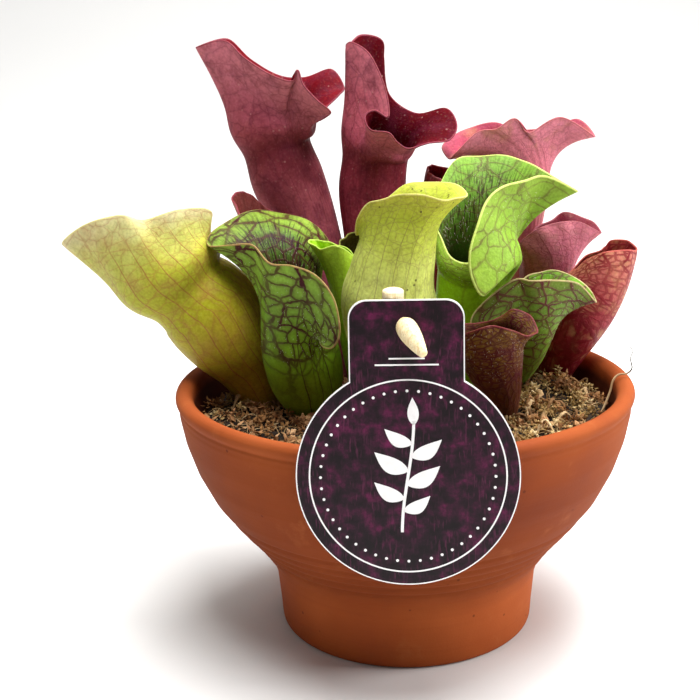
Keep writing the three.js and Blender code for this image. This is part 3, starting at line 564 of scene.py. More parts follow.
def leaf_finish(name, outside, inside, vein, rim_color, net, lines, blush=None, streaks=None, specks=None,
                roughness=0.46, shine=0.3):
    """Satin leaf tissue, coloured along the leaf, with veins.

    outside and inside are colour stops from the root (0) over the throat (0.42) to the rim (1). net is the
    cell size in metres, the vein's share of a cell, its strength, and where along the leaf it sets in and is
    full. lines is the count of lengthwise veins, their share, strength, and where they fade out. blush is a
    second colour and its share. streaks are the dark hairs that line the hood and thin out to its rim: a
    colour, a strength, and where they set in and are full. specks are small dots in patches: a colour and a
    strength. shine is the specular level.
    """
    finish = Finish(name, roughness, shine)
    spot = finish.put("ShaderNodeUVMap", uv_map="skin").outputs["UV"]
    split = finish.put("ShaderNodeSeparateXYZ", {"Vector": spot}).outputs
    turn, up = split["X"], split["Y"]
    inner = finish.value("inner")
    place = finish.sum(up, finish.swing(finish.noise(0.011, 3.0), 0.22))
    color = finish.blend(inner, finish.ramp(place, outside), finish.ramp(place, inside))
    if blush:
        share = finish.step(finish.noise(0.007, 4.0, rough=0.6), 0.46, 0.68, 0.0, blush[1])
        color = finish.blend(share, color, blush[0])
    web, stain = vein_net(finish, turn, up, net)
    color = finish.blend(stain, color, vein)
    count, share, strong, line_end = lines
    comb = finish.sum(finish.times(turn, count), finish.swing(finish.noise(0.016, 2.0), 0.9))
    stripe = finish.step(finish.sum(comb, 1.0, "PINGPONG"), share * 0.4, share * 1.4, 1.0, 0.0)
    stripe = finish.times(stripe, finish.step(up, line_end - 0.3, line_end, strong, 0.0))
    veins = finish.sum(web, stripe, "MAXIMUM")
    color = finish.blend(veins, color, vein)
    if streaks:
        streak_color, streak_strength, streak_from, streak_full = streaks
        stretched = finish.put("ShaderNodeCombineXYZ", {
            "X": finish.times(turn, STREAKS_ROUND), "Y": finish.times(up, STREAKS_ALONG),
        }).outputs[0]
        hairs = finish.step(finish.noise(1.0, 3.0, stretched), 0.48, 0.6)
        hairs = finish.times(hairs, finish.step(up, streak_from, streak_full, 0.0, streak_strength))
        hairs = finish.times(hairs, finish.step(up, 0.78, 0.99, 1.0, 0.25))
        color = finish.blend(finish.times(hairs, inner), color, streak_color)
    if specks:
        some = finish.step(finish.noise(0.008, 1.0), 0.5, 0.56, 0.0, specks[1])
        some = finish.times(finish.step(finish.dots(380.0), 0.1, 0.17, 1.0, 0.0), some)
        color = finish.blend(some, color, specks[0])
    ridge = finish.step(finish.value("edge"), 0.5 * RIM_WIDTH, RIM_WIDTH, 0.85, 0.0)
    color = finish.blend(ridge, color, rim_color)
    grain = finish.noise(0.0008, 3.0)
    color = finish.blend(finish.step(grain, 0.3, 0.62, 0.3, 0.0), color, (0.42, 0.42, 0.38, 1.0), "MULTIPLY")
    color = finish.blend(finish.step(grain, 0.56, 0.72, 0.0, 0.16), color, (0.16, 0.15, 0.1, 1.0), "SCREEN")
    uneven = finish.step(finish.noise(0.0035, 3.0), 0.35, 0.7, 0.0, 0.3)
    color = finish.blend(uneven, color, (0.6, 0.58, 0.5, 1.0), "MULTIPLY")
    finish.shader.inputs["Subsurface Weight"].default_value = 0.18
    finish.shader.inputs["Subsurface Radius"].default_value = (1.0, 0.7, 0.25)
    finish.shader.inputs["Subsurface Scale"].default_value = 0.0015
    finish.shader.inputs["IOR"].default_value = 1.25
    return finish.wear(color, finish.sum(finish.times(veins, 0.6), finish.times(grain, 0.6)), 0.0003, 0.65)


# The hairs on a leaf are stiff and point down, long and dark in the mouth and short and pale outside.
HAIR_RADIUS = 0.055
HAIR_CORNERS = (0.0, 2.094, 4.189)
HAIR_SUNK = 0.05
HAIR_LEAN = (0.55, 0.85)             # shares of the way off the face and down the leaf
HAIR_STRAY = 0.25
MOUTH_FROM = 0.5
FUZZ_TO = 0.99
FUZZ_COUNT = 500
FUZZ_LENGTHS = (0.25, 0.6)


def hair_finish(name, color):
    """Stiff translucent hairs in one tone with a slight mottle."""
    finish = Finish(name, 0.5)
    return finish.wear(finish.blend(finish.noise(0.002), color, "c8bfa0"))


def leaf_hairs(name, skin, out, rows, inside, count, lengths, seed, finish_material):
    """Hairs on one face of a leaf, between two shares of its height, all pointing down into the mouth.

    Each hair is a thin closed pyramid of three sides that stands off the face by about 35 degrees.
    """
    draw = np.random.default_rng(seed)
    first, last = (int(share * (len(skin) - 2)) + 1 for share in rows)
    row = draw.integers(first, last, count)
    column = draw.integers(0, LEAF_COLUMNS, count)
    share = draw.random((count, 1))
    foot = skin[row, column] * (1 - share) + skin[row, (column + 1) % LEAF_COLUMNS] * share
    away = -out[row, column] if inside else out[row, column]
    down = unit(skin[row - 1, column] - skin[row + 1, column])
    foot = foot + away * (LEAF_WALL / 2 - HAIR_SUNK)
    lean = unit(HAIR_LEAN[0] * away + HAIR_LEAN[1] * down + draw.normal(0, HAIR_STRAY, (count, 3)))
    side = unit(np.cross(lean, away))
    over = np.cross(lean, side)
    tip = foot + lean * draw.uniform(*lengths, (count, 1))
    corners = [foot + HAIR_RADIUS * (math.cos(a) * side + math.sin(a) * over) for a in HAIR_CORNERS]
    points = np.stack(corners + [tip], 1).reshape(-1, 3) * MM
    pyramid = np.array([(0, 2, 1), (0, 1, 3), (1, 2, 3), (2, 0, 3)])
    faces = (pyramid[None] + 4 * np.arange(count)[:, None, None]).reshape(-1, 3)
    piece = new_piece("hairs_" + name, points.tolist(), faces.tolist(), [finish_material], smooth=False)
    settle(piece, None)


dark_hair = hair_finish("dark_hair", "2e1414")
pale_hair = hair_finish("pale_hair", "e8e6d8")


def pitcher(name, slot, tube, rim, lip=0.0, pinches=(), mouth=None, fuzz=None, **colors):
    """One leaf with its finish and hairs.

    mouth gives the hairs inside the hood: the share of the leaf they reach, their count, lengths and seed.
    fuzz gives those outside: the share of the leaf they start at, and their seed.
    """
    skin, out = leaf_piece(name, tube, rim, lip, pinches, leaf_finish(name + "_leaf", **colors))
    if mouth:
        top, count, lengths, seed = mouth
        rows = (MOUTH_FROM, top)
        leaf_hairs("mouth_" + name, skin, out, rows, True, count, lengths, seed, dark_hair)
    if fuzz:
        low, seed = fuzz
        rows = (low, FUZZ_TO)
        leaf_hairs("fuzz_" + name, skin, out, rows, False, FUZZ_COUNT, FUZZ_LENGTHS, seed, pale_hair)


# The lowest leaf leans far out to the left over the rim. It is yellow-green, paler towards the hood, with
# thin red-brown veins that run its length and a warm brown foot.
pitcher(
    "left_yellow", "leaf_yellow",
    tube=[
        (-39, 15, 53, 3), (-43, 15, 62, 5), (-46, 14, 71, 8), (-50, 12, 82, 11), (-56, 8, 93, 14),
        (-62, 7, 101, 15), (-66, 6.3, 105, 15.3),
    ],
    rim=[
        (179, 0, -104, 4, 120.5), (211, 0, -96, -2, 127), (270, 0, -84.5, -5, 130.5),
        (304, 0, -76.5, -4, 129), (337, 0, -66, -2, 131.5), (355, 0, -58, 4, 130), (372, 0, -61, 9, 121),
        (396, 0, -58.5, 17, 119.5), (430, 0, -68, 25, 118), (461, 0, -82, 28, 117.5),
        (490, 0, -96, 22, 118.5),
    ],
    outside=[
        (0.0, "b5823c"), (0.16, "b89a30"), (0.4, "aaa824"), (0.62, "b2b438"), (0.85, "c4c468"),
        (1.0, "d6ce9c"),
    ],
    inside=[(0.0, "ccaf30"), (0.5, "deb34a"), (0.8, "e2dc41"), (1.0, "dedf37")],
    vein="a04c38", rim_color="e0d89a", net=(0.0034, 0.045, 0.28, 0.05, 0.35), lines=(44, 0.07, 0.6, 1.0),
    blush=("c58a58", 0.25), pinches=((0.43, 1.7, 0.075), (0.25, -1.2, 0.1), (0.6, -1.2, 0.1)),
)


# The broad leaf at the front left has the boldest net: dark maroon meshes on a fresh green hood that folds
# forward, over a plainer green tube.
pitcher(
    "front_left_netted", "leaf_netted",
    tube=[
        (-24, 12, 52, 3), (-26.5, 10, 59.5, 4), (-28.5, 6, 67.5, 7.5), (-30, 0, 78, 11),
        (-31, -5, 87, 11.5), (-31.5, -7, 91, 11), (-32, -8.7, 95.5, 10.4),
    ],
    rim=[
        (150, 0, -58.5, -2, 121), (158, 0, -51.5, -8, 121.5), (168, 0, -43, -14, 122.5),
        (215, 0, -38, -19, 118), (262, 0, -31, -23, 118), (278, 0, -24.5, -27, 116),
        (290, 10, -19, -30, 109.5), (297, 20, -17.5, -31, 101), (303, 30, -20, -29, 95.5),
        (309, 30, -23, -26, 95), (316, 30, -24.5, -21, 97), (328, 20, -24, -16, 99.5),
        (350, 20, -23, -10, 101.5), (385, 10, -24, -3, 104), (412, 0, -25, 6, 109),
        (430, 0, -22.5, 15.5, 117), (445, 0, -29.5, 17, 124.5), (461, 0, -39.5, 18, 127.5),
        (478, 0, -48.5, 13, 128), (496, 0, -56, 4, 125),
    ],
    outside=[(0.0, "8a9c22"), (0.3, "86b428"), (0.6, "76a02e"), (1.0, "88ac3e")],
    inside=[(0.3, "22140b"), (0.55, "303c12"), (0.76, "4a6a1a"), (1.0, "92b042")],
    vein="44141a", rim_color="a8895a", net=(0.0050, 0.085, 1.0, 0.15, 0.45), lines=(16, 0.07, 0.75, 0.95),
    streaks=("2c1014", 1.0, 0.4, 0.6), mouth=(0.93, 900, (0.7, 1.6), 61), fuzz=(0.35, 62),
)


# A small plain green leaf between the front ones.
pitcher(
    "small_green", "leaf_green",
    tube=[
        (-11, 13, 52, 2.5), (-13, 12, 63, 3), (-13, 9.5, 77, 4.5), (-13.5, 8, 89.5, 6), (-14, 6, 99.5, 7),
        (-14.5, 5, 104.5, 7.2),
    ],
    rim=[
        (182, 0, -28, 1, 121), (209, 0, -24.5, -2, 119), (247, 0, -19, -4, 120),
        (289, 0, -13.5, -2, 115.5), (321, 10, -11, 1, 108.5), (366, 10, -9.5, 6, 106),
        (400, 0, -10.5, 8, 108.5), (444, 0, -15.5, 8, 116), (490, 0, -20.5, 6, 119),
        (521, 0, -24.5, 3.5, 120.5),
    ],
    outside=[(0.0, "c4e44c"), (0.5, "bce444"), (1.0, "b4d444")],
    inside=[(0.3, "5f920d"), (0.7, "80b212"), (1.0, "9dd018")],
    vein="6a7a20", rim_color="b9d460", net=(0.0034, 0.04, 0.2, 0.1, 0.5), lines=(14, 0.06, 0.25, 1.0),
)


# The lime leaf in the middle opens to the upper right. Its thin veins are brown-purple and its rim is pale.
pitcher(
    "middle_lime", "leaf_yellow",
    tube=[
        (-1, 5, 52, 3), (-2.5, 2, 63.5, 4.5), (-3, -3, 74, 8), (-3.5, -10, 91, 12),
        (-4, -15, 105.5, 13.5), (-3, -17, 113.5, 12), (-1.5, -18, 120.5, 11),
    ],
    rim=[
        (190, 0, -12.5, -22, 130.5), (205, 0, -9.5, -26, 135.5), (225, 0, -4.5, -30, 137.5),
        (248, 0, 1, -32, 139), (270, 0, 6, -32, 138.5), (290, 0, 11.5, -30, 137),
        (305, 0, 15.5, -25, 136.5), (320, 0, 18.5, -19, 137), (338, 0, 16, -12, 138.5),
        (360, 0, 9.5, -6, 139), (385, 0, 2.5, -3, 138), (410, 0, -3, -3, 135), (445, 10, -7.5, -4, 130),
        (480, 20, -11, -7, 126), (520, 10, -13, -15, 125.5),
    ],
    outside=[(0.0, "dae184"), (0.3, "dde77d"), (0.55, "cbd856"), (0.8, "b8c53a"), (1.0, "babc41")],
    inside=[(0.3, "727f18"), (0.6, "a1b230"), (1.0, "bfc748")],
    vein="74404a", rim_color="d0cc7a", net=(0.0038, 0.042, 0.27, 0.1, 0.5), lines=(30, 0.05, 0.5, 1.0),
    specks=("2a1c0c", 0.7),
)


# A small olive-brown leaf stands behind the green one.
pitcher(
    "small_olive", "leaf_bronze",
    tube=[
        (-9, 25, 52, 2.5), (-12.5, 26, 61, 3), (-13.5, 24, 77, 4), (-14, 23.5, 91, 5),
        (-14, 23, 102.5, 5.5), (-14, 23, 109, 6),
    ],
    rim=[
        (180, 0, -20, 19, 116), (215, 0, -17, 16, 112.5), (270, 0, -14, 15, 111.5),
        (320, 0, -10.5, 17, 113), (360, 0, -8.5, 22, 116), (405, 0, -10, 27, 118.5),
        (450, 0, -13.5, 28, 119.5), (495, 0, -18, 25, 118),
    ],
    outside=[(0.0, "6a6a1a"), (0.5, "555213"), (1.0, "6a6418")],
    inside=[(0.3, "3a380d"), (1.0, "504a13")],
    vein="3a1a14", rim_color="8a8a44", net=(0.003, 0.12, 0.6, 0.2, 0.5), lines=(14, 0.08, 0.3, 0.8),
)


# The bright lime leaf has a tall open hood with dark hairs inside it, a pale rim and a thick rolled lip.
pitcher(
    "upright_lime", "leaf_green",
    tube=[
        (18, 19, 52, 3), (21, 20, 61.5, 3.5), (21, 19, 74, 6), (20.5, 17, 87, 8.5), (21, 14, 98.5, 10),
        (22.5, 11, 108.5, 11),
    ],
    rim=[
        (90, 0, 27, 33, 142), (113, 0, 19.5, 31, 142), (135, 0, 15, 27, 138.5), (158, 0, 11.5, 20, 132.5),
        (178, 0, 10, 13, 125.5), (197, 40, 12.5, 7, 119.5), (222, 60, 14.5, 1, 115.5),
        (255, 60, 18.5, -3, 114), (290, 50, 24, -4, 114.5), (310, 0, 27.5, -10, 113),
        (317, 20, 25, -17, 109.5), (324, 20, 22.5, -20, 108), (331, 20, 20, -20, 113.5),
        (339, 0, 19.5, -19, 120.5), (348, 0, 21.5, -16, 127.5), (357, 0, 24.5, -12, 133.5),
        (366, 0, 29.5, -6, 137), (374, 0, 36.5, 1, 138), (382, 0, 44, 9, 138), (390, 0, 54, 14, 133),
        (402, 0, 45, 20, 138), (416, 0, 40, 26, 140.5), (432, 0, 34.5, 31, 142),
    ],
    outside=[(0.0, "98c830"), (0.4, "a4d636"), (0.7, "82aa2e"), (1.0, "90b03c")],
    inside=[(0.3, "1c1a08"), (0.5, "3e5c16"), (0.75, "628c2a"), (1.0, "82ac3c")],
    vein="5c2a2a", rim_color="cfe07a", net=(0.0042, 0.05, 0.5, 0.35, 0.6), lines=(20, 0.05, 0.25, 0.9),
    streaks=("33280f", 0.9, 0.45, 0.6), lip=0.1, mouth=(0.9, 1100, (0.6, 1.5), 63), fuzz=(0.35, 64),
)


# The green leaf on the right carries a maroon net and opens to the front, with hairs in its mouth.
pitcher(
    "right_netted", "leaf_netted",
    tube=[
        (32, 21, 53, 2.5), (34, 20, 64, 3), (35, 17, 72.5, 4.5), (37, 11, 81.5, 6.5),
        (38, 6.5, 87.5, 7.2), (38.8, 4.2, 91.8, 7.6),
    ],
    rim=[
        (0, 0, 59, 3, 100.5), (15, 0, 57.5, 5, 103.5), (35, 0, 53, 10, 107), (60, 0, 47, 12, 108.5),
        (90, 0, 42, 11, 108), (115, 0, 38, 8, 107.5), (145, 0, 36.5, 4, 105), (175, 0, 34.5, 0, 101),
        (198, 20, 32.5, -4, 96), (209, 40, 29.5, -9, 92.5), (216, 50, 25, -12, 90),
        (222, 30, 21, -13, 94), (228, 10, 20.5, -12, 99.5), (236, 0, 26, -10, 105.5),
        (250, 0, 33, -9, 110), (275, 0, 38, -10, 110), (306, 0, 44.5, -8, 109.5),
        (340, 0, 52.5, -3, 107.5),
    ],
    outside=[(0.0, "709424"), (0.45, "789e34"), (0.8, "6c9030"), (1.0, "6e8030")],
    inside=[(0.3, "313d0b"), (0.6, "5f8c19"), (1.0, "71a320")],
    vein="5c1f2a", rim_color="b8a878", net=(0.0042, 0.09, 0.95, 0.1, 0.4), lines=(14, 0.06, 0.3, 0.7),
    streaks=("33280f", 0.7, 0.45, 0.6), mouth=(0.98, 600, (0.6, 1.4), 65), fuzz=(0.3, 66),
)


# The short bronze leaf at the front right is maroon-brown with an olive ground.
pitcher(
    "small_bronze", "leaf_bronze",
    tube=[
        (27, 4, 53, 2.5), (31, 0, 61, 3), (30, -7, 70, 4.5), (28.5, -16, 80, 6), (26, -24, 89, 8),
        (25.3, -26.8, 92.8, 8.4),
    ],
    rim=[
        (1, 0, 37.5, -31, 99.5), (30, 0, 36, -25, 103), (54, 0, 31.5, -22, 104), (78, 0, 26.5, -21, 101),
        (107, 0, 22, -21, 100), (138, 0, 17, -23, 100), (172, 10, 14, -28, 98.5),
        (205, 10, 14, -35, 99.5), (236, 0, 17, -40, 101.5), (276, 0, 22, -42, 104),
        (312, 0, 27.5, -41, 103.5), (338, 0, 33, -37, 100.5),
    ],
    outside=[(0.0, "522a18"), (0.35, "643c1c"), (0.7, "7c6020"), (1.0, "866426")],
    inside=[(0.3, "2e1408"), (0.7, "584212"), (1.0, "786018")],
    vein="4a0e1c", rim_color="6e2c30", net=(0.0028, 0.17, 1.0, 0.1, 0.3), lines=(14, 0.08, 0.3, 0.8),
    blush=("641a2c", 0.75), fuzz=(0.3, 67),
)


# The tall crimson leaf at the back left ends in a crumpled hood that points up to the left.
pitcher(
    "tall_red_left", "leaf_red",
    tube=[
        (-17, 31, 52, 3), (-20.5, 34, 60, 3.5), (-22.5, 36, 81, 6), (-27, 39, 103, 8.5),
        (-32, 41, 121, 10), (-37.5, 42, 134.5, 12), (-40.5, 42, 144, 12),
    ],
    rim=[
        (201, 0, -65, 37, 178), (251, 0, -55.5, 31, 180), (276, 0, -48.5, 27, 175),
        (292, 0, -41.5, 25, 170), (299, 0, -33.5, 24, 167.5), (305, 0, -31.5, 23, 170.5),
        (311, 0, -29.5, 23, 166), (317, 20, -25.5, 22, 161), (323, 30, -21.5, 23, 157.5),
        (329, 40, -26, 28, 154.5), (342, 20, -25, 36, 157), (362, 10, -20, 43, 162),
        (375, 0, -18.5, 49, 164), (384, 0, -23, 53, 170), (405, 0, -32, 57, 167),
        (426, 0, -40.5, 58, 168), (451, 0, -50, 55, 173.5), (502, 0, -56, 47, 180.4),
    ],
    # The dark stop at the waist (0.43) is painted shade under the bulge of the hood.
    outside=[
        (0.0, "b25c6a"), (0.3, "a8525e"), (0.43, "7a2e3a"), (0.58, "a04858"), (0.8, "b86474"),
        (1.0, "c87684"),
    ],
    inside=[(0.3, "380007"), (0.7, "5a040e"), (1.0, "780c1b")],
    vein="4c1222", rim_color="8c4452", net=(0.0046, 0.05, 0.26, 0.05, 0.4), lines=(16, 0.04, 0.25, 1.0),
    specks=("d8a5a0", 0.25), blush=("6e2a40", 0.4), roughness=0.52, shine=0.12,
    pinches=((0.43, 1.2, 0.075), (0.58, -1.2, 0.09)),
)


# Its neighbour stands straight, with a narrow blade at the back and a folded lip to the right.
pitcher(
    "tall_red_middle", "leaf_red",
    tube=[
        (-3, 28, 53, 3), (-4, 30, 60, 3.5), (-5.5, 34, 77.5, 6.5), (-8, 38, 97.5, 8.5),
        (-9, 40, 117.5, 10), (-9.5, 41, 131, 11), (-8.5, 41, 140.5, 11),
    ],
    rim=[
        (180, 0, -16.5, 38, 177.5), (195, 0, -15, 35, 178.5), (210, 0, -9, 31, 174.5),
        (226, 0, -5, 28, 165.5), (241, 0, -3.5, 26, 155.5), (250, 10, -8, 24.5, 158),
        (259, 15, -10.8, 22.5, 156.5), (269, 20, -9, 20.5, 152.2), (282, 20, -3.5, 21.5, 150.8),
        (297, 30, -0.8, 25.5, 147.8), (315, 30, 3, 30, 145.3), (335, 20, 9.5, 32, 146.5),
        (352, 0, 16, 36, 147.5), (368, 0, 18.5, 42, 151.5), (385, 0, 15, 48, 156.5), (410, 0, 5, 52, 155),
        (440, 0, -3.5, 54, 161), (470, 0, -5, 54, 172.5), (498, 0, -6, 52, 179),
        (520, 0, -12.5, 45, 180.6),
    ],
    # The dark stop at the waist (0.43) is painted shade under the bulge of the hood.
    outside=[
        (0.0, "a84c58"), (0.3, "9e3c4e"), (0.43, "802c38"), (0.58, "b25264"), (0.8, "cc6a7c"),
        (1.0, "d87c8c"),
    ],
    inside=[(0.3, "280004"), (0.7, "3e0108"), (1.0, "580510")],
    vein="4c1222", rim_color="8c4452", net=(0.0046, 0.05, 0.26, 0.05, 0.4), lines=(16, 0.04, 0.25, 1.0),
    specks=("d8a5a0", 0.25), blush=("6a2438", 0.4), roughness=0.6, shine=0.05,
    pinches=((0.42, 0.7, 0.08), (0.57, -0.5, 0.1)),
)


# The pink leaf at the back right spreads a wide, pale-veined hood.
pitcher(
    "back_pink", "leaf_rose",
    tube=[
        (27, 40, 53, 2.5), (30, 44, 60, 3), (32, 48, 74.5, 4.5), (36.5, 51, 95.5, 5.5),
        (40.5, 53, 113, 6.5), (40.5, 51, 125.5, 8.5), (40, 50, 132, 9.5),
    ],
    rim=[
        (0, 0, 64, 46, 146.5), (15, 0, 59.5, 53, 151.5), (35, 0, 50, 58, 148.5), (60, 0, 41, 61, 148),
        (90, 0, 32, 61, 150.5), (120, 0, 23, 58, 149), (150, 0, 17.5, 54, 146.5), (180, 20, 14, 48, 144),
        (230, 10, 16, 40, 140.5), (255, 0, 18, 37, 143), (278, 0, 25, 36, 149.5), (294, 0, 31, 36, 150.5),
        (308, 0, 37, 36, 153.5), (322, 0, 42, 37, 149), (340, 0, 52, 40, 153.5),
    ],
    outside=[(0.0, "be5d63"), (0.4, "cb6c7b"), (0.8, "cf7786"), (1.0, "dc8696")],
    inside=[(0.3, "852136"), (0.7, "9c374e"), (1.0, "a9485d")],
    vein="8a2c3a", rim_color="b86a70", net=(0.0036, 0.05, 0.25, 0.05, 0.4), lines=(16, 0.05, 0.3, 1.0),
    blush=("c8946a", 0.4), shine=0.2,
)


# A thin red leaf stands far back.
pitcher(
    "back_small_red", "leaf_red",
    tube=[
        (9, 38, 53, 2.5), (11.5, 42, 61, 3), (12, 43, 78.5, 4), (13, 44, 99.5, 5.5), (13, 44, 115, 6),
        (13, 44, 125, 6),
    ],
    rim=[
        (180, 0, 9, 42, 136.5), (225, 0, 11.5, 38, 135), (270, 0, 15, 37, 134), (315, 0, 18, 40, 135),
        (360, 0, 19.5, 44, 136.5), (405, 0, 17, 49, 136.5), (450, 0, 13.5, 50, 137),
        (495, 0, 10, 47, 138),
    ],
    outside=[(0.0, "913a41"), (0.5, "832d3a"), (1.0, "9e4451")],
    inside=[(0.3, "5a0914"), (1.0, "8e1b31")],
    vein="551620", rim_color="a8606a", net=(0.004, 0.06, 0.3, 0.2, 0.6), lines=(12, 0.05, 0.3, 1.0),
)


# Behind the netted leaf on the right stands a dusky rose one.
pitcher(
    "right_rose", "leaf_rose",
    tube=[
        (38, 36, 53, 2.5), (40, 37, 61, 3.2), (41.5, 37.5, 71, 4.2), (44.5, 38.5, 85.5, 6),
        (47, 39, 96.5, 7.5), (48, 38, 104, 8.5),
    ],
    rim=[
        (0, 0, 66, 40, 115.5), (20, 0, 63.5, 46, 118.5), (45, 0, 55.5, 49, 121), (75, 0, 51, 47, 119),
        (105, 0, 45.5, 43, 117), (140, 0, 41, 41, 112.5), (180, 10, 38.5, 37, 110.5),
        (220, 10, 38, 33, 112), (260, 0, 40, 31, 115.5), (285, 0, 45, 30, 119), (310, 0, 51.5, 31, 120.5),
        (335, 0, 58, 34, 120),
    ],
    outside=[(0.0, "a04650"), (0.5, "bc6275"), (1.0, "c26e7d")],
    inside=[(0.3, "4a0c18"), (1.0, "7c2838")],
    vein="6c1f2a", rim_color="a05a64", net=(0.0034, 0.06, 0.35, 0.05, 0.3), lines=(14, 0.06, 0.35, 1.0),
    blush=("b8807a", 0.4), shine=0.2,
)


# The leaf furthest to the right is rose with yellowish meshes between dark red veins.
pitcher(
    "far_right_mottled", "leaf_rose",
    tube=[
        (45, 26, 53, 3), (47.5, 26, 63.5, 4), (49.5, 24, 73.5, 6), (52, 22, 83, 8.5),
        (55.5, 20, 91.5, 10), (57.4, 20, 95, 10.3),
    ],
    rim=[
        (0, 0, 74, 20, 113), (39, 0, 72.7, 25, 115), (88, 0, 68, 30, 114.5), (96, 0, 65, 31, 111.5),
        (119, 0, 59.5, 29, 109.5), (143, 0, 53.5, 26, 104.5), (175, 10, 51, 21, 103.5),
        (189, 10, 52, 19, 105), (210, 0, 54.5, 15, 108.5), (228, 0, 58.5, 13, 112), (253, 0, 63, 12, 114),
        (313, 0, 70, 15, 114),
    ],
    outside=[(0.0, "84202a"), (0.4, "98323a"), (0.65, "b8605a"), (1.0, "c87c68")],
    inside=[(0.3, "6a161e"), (1.0, "9a3a36")],
    vein="7c1622", rim_color="b85a52", net=(0.0029, 0.17, 0.95, 0.0, 0.2), lines=(14, 0.08, 0.4, 0.9),
    blush=("c89a6a", 0.6),
)


# Only the tip of this slim leaf shows, behind the yellow one.
pitcher(
    "back_left_tip", "leaf_rose",
    tube=[
        (-27, 22, 52, 2.5), (-28.5, 21, 64, 3), (-31.5, 22, 81, 4), (-36, 24, 97.5, 5),
        (-40.5, 25, 110, 6), (-43, 25, 117.5, 6),
    ],
    rim=[
        (180, 0, -53.5, 22, 132), (215, 0, -50.5, 17, 127), (255, 0, -45, 16, 124.5),
        (300, 0, -40, 18, 125), (360, 0, -37.5, 25, 125), (405, 0, -43.5, 31, 126.5),
        (450, 0, -47.5, 32, 130), (495, 0, -51, 29, 132.5),
    ],
    outside=[(0.0, "8a3a40"), (0.5, "964a48"), (1.0, "b06a52")],
    inside=[(0.3, "6a2a20"), (1.0, "8a4440")],
    vein="6c2a26", rim_color="a04858", net=(0.0032, 0.08, 0.6, 0.1, 0.3), lines=(12, 0.06, 0.3, 0.9),
)


# ---------------------------------------------------------------- the creeping stem in the moss
# The leaves grow from a short woody stem that creeps through the moss. It is out of sight, so the solid from
# the frame stays, with a fibrous bark.
def bark_finish():
    """Dark brown bark with fibres along the stem."""
    finish = Finish("stem_bark", 0.9)
    fibres = finish.noise(0.0012, 4.0, finish.place((0.15, 1.0, 1.0)), 0.7)
    color = finish.ramp(fibres, [(0.3, "2e1a10"), (0.55, "5b3a26"), (0.8, "7a563a")])
    return finish.wear(color, fibres, 0.0004)


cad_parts["rhizome"].material_slots[0].material = bark_finish()


# ---------------------------------------------------------------- the moss
# Dried sphagnum fills the pot to a little below its lip. It is a springy heap of curled stems clad in tiny
# leaves, tan and brown, with dark gaps between them, loose threads, and a few green stems at the front right.
MOSS_LEVEL = 67.2
MOSS_EDGE = 62.4
MOSS_SPREAD = 0.97       # the strands set out within this share of the edge
MOSS_HEAP = (44, 14, 6, 220)         # across, back, height, and squared width
HUMMOCKS = (0.9, 0.6)    # heights of the two waves
ONE_TURN = 6.28          # radians, for the phase of a wave
BED_SEED = 5
BED_COLUMNS = 160
BED_RINGS = 70
BED_MIDDLE = 0.02        # the innermost ring's share of the edge
BED_GAP = 0.6            # between the bed and the pot's wall
BED_LIFT = 0.4           # of the bed's underside off the pot's floor
BED_DROP = 1.3
BED_WAVES = 14
BED_WAVE_LENGTHS = (1.6, 5.0)
BED_WAVE_HEIGHT = 0.22
STRAND_DROP = 1.0        # the stems' middle lies this much below the moss level, and so above the dark bed
STRAND_STATIONS = 14
STRAND_FLATNESS = 0.6
STRAND_CURL = 2.2
STRAND_WAVER = 0.22
STRAND_LIFT = 0.35
STRAND_LUMPS = (0.65, 1.25)
STRAND_ARCHES = (0.1, 1.0)           # shares of the greatest arch
STRAND_ARCH_POWER = 1.5  # above one, so that low arches are the most common
STRAND_TAPER = (0.08, 0.84)          # where on a half sine wave the radius starts, and how far it runs
PALE_AND_LIT_FROM = 8.0         # right of this a strand is always kept, so pale strands gather on the right: partly the moss's own mix, partly painted light from the right
LEAFLET = np.array([
    (0, 0, 0), (0.5, 0.5, 0.1), (0.5, -0.5, 0.1), (0.5, 0, 0.2), (0.45, 0, -0.1), (1, 0, 0.35),
])
LEAFLET_FACES = np.array([
    (0, 3, 1), (0, 2, 3), (0, 1, 4), (0, 4, 2), (5, 1, 3), (5, 3, 2), (5, 4, 1), (5, 2, 4),
])
LEAFLET_TURN = 2.4       # the golden angle
LEAFLET_TIPS = (25, 75)
LEAFLET_TWIST = 0.5
LEAFLET_SIZES = (0.6, 1.25)
LEAFLET_OFF_STEM = 0.15
LEAFLET_OWN_SHADE = 0.4
# name: (stems, seed, leaflets on each, least and greatest length, greatest arch, leaflet length and width,
#        where they lie, tones)
MOSS_TUFTS = {
    "moss_brown": (290, 11, 22, (3.5, 8.0), 4.0, (1.7, 1.15), {},
                   [(0.0, "482812"), (0.4, "885a2e"), (0.75, "bc8850"), (1.0, "dfb680")]),
    "moss_tan": (420, 12, 28, (5.0, 11.0), 4.6, (1.5, 0.95), {"pale_and_lit_left_share": 0.2},
                 [(0.0, "74542c"), (0.35, "b08c50"), (0.7, "dcc088"), (1.0, "f8ebc8")]),
    "moss_flakes": (150, 13, 12, (2.0, 4.5), 3.4, (2.6, 1.7), {},
                    [(0.0, "7a4e2c"), (0.4, "b07e50"), (0.75, "d8aa7a"), (1.0, "f6e0ba")]),
    "moss_green": (110, 37, 22, (3.0, 8.0), 2.0, (1.4, 0.5), {"middle": (38.0, -44.0), "spread": (11.0, 5.0)},
                   [(0.0, "6c7836"), (0.5, "b4ba5c"), (1.0, "dfe2a0")]),
}
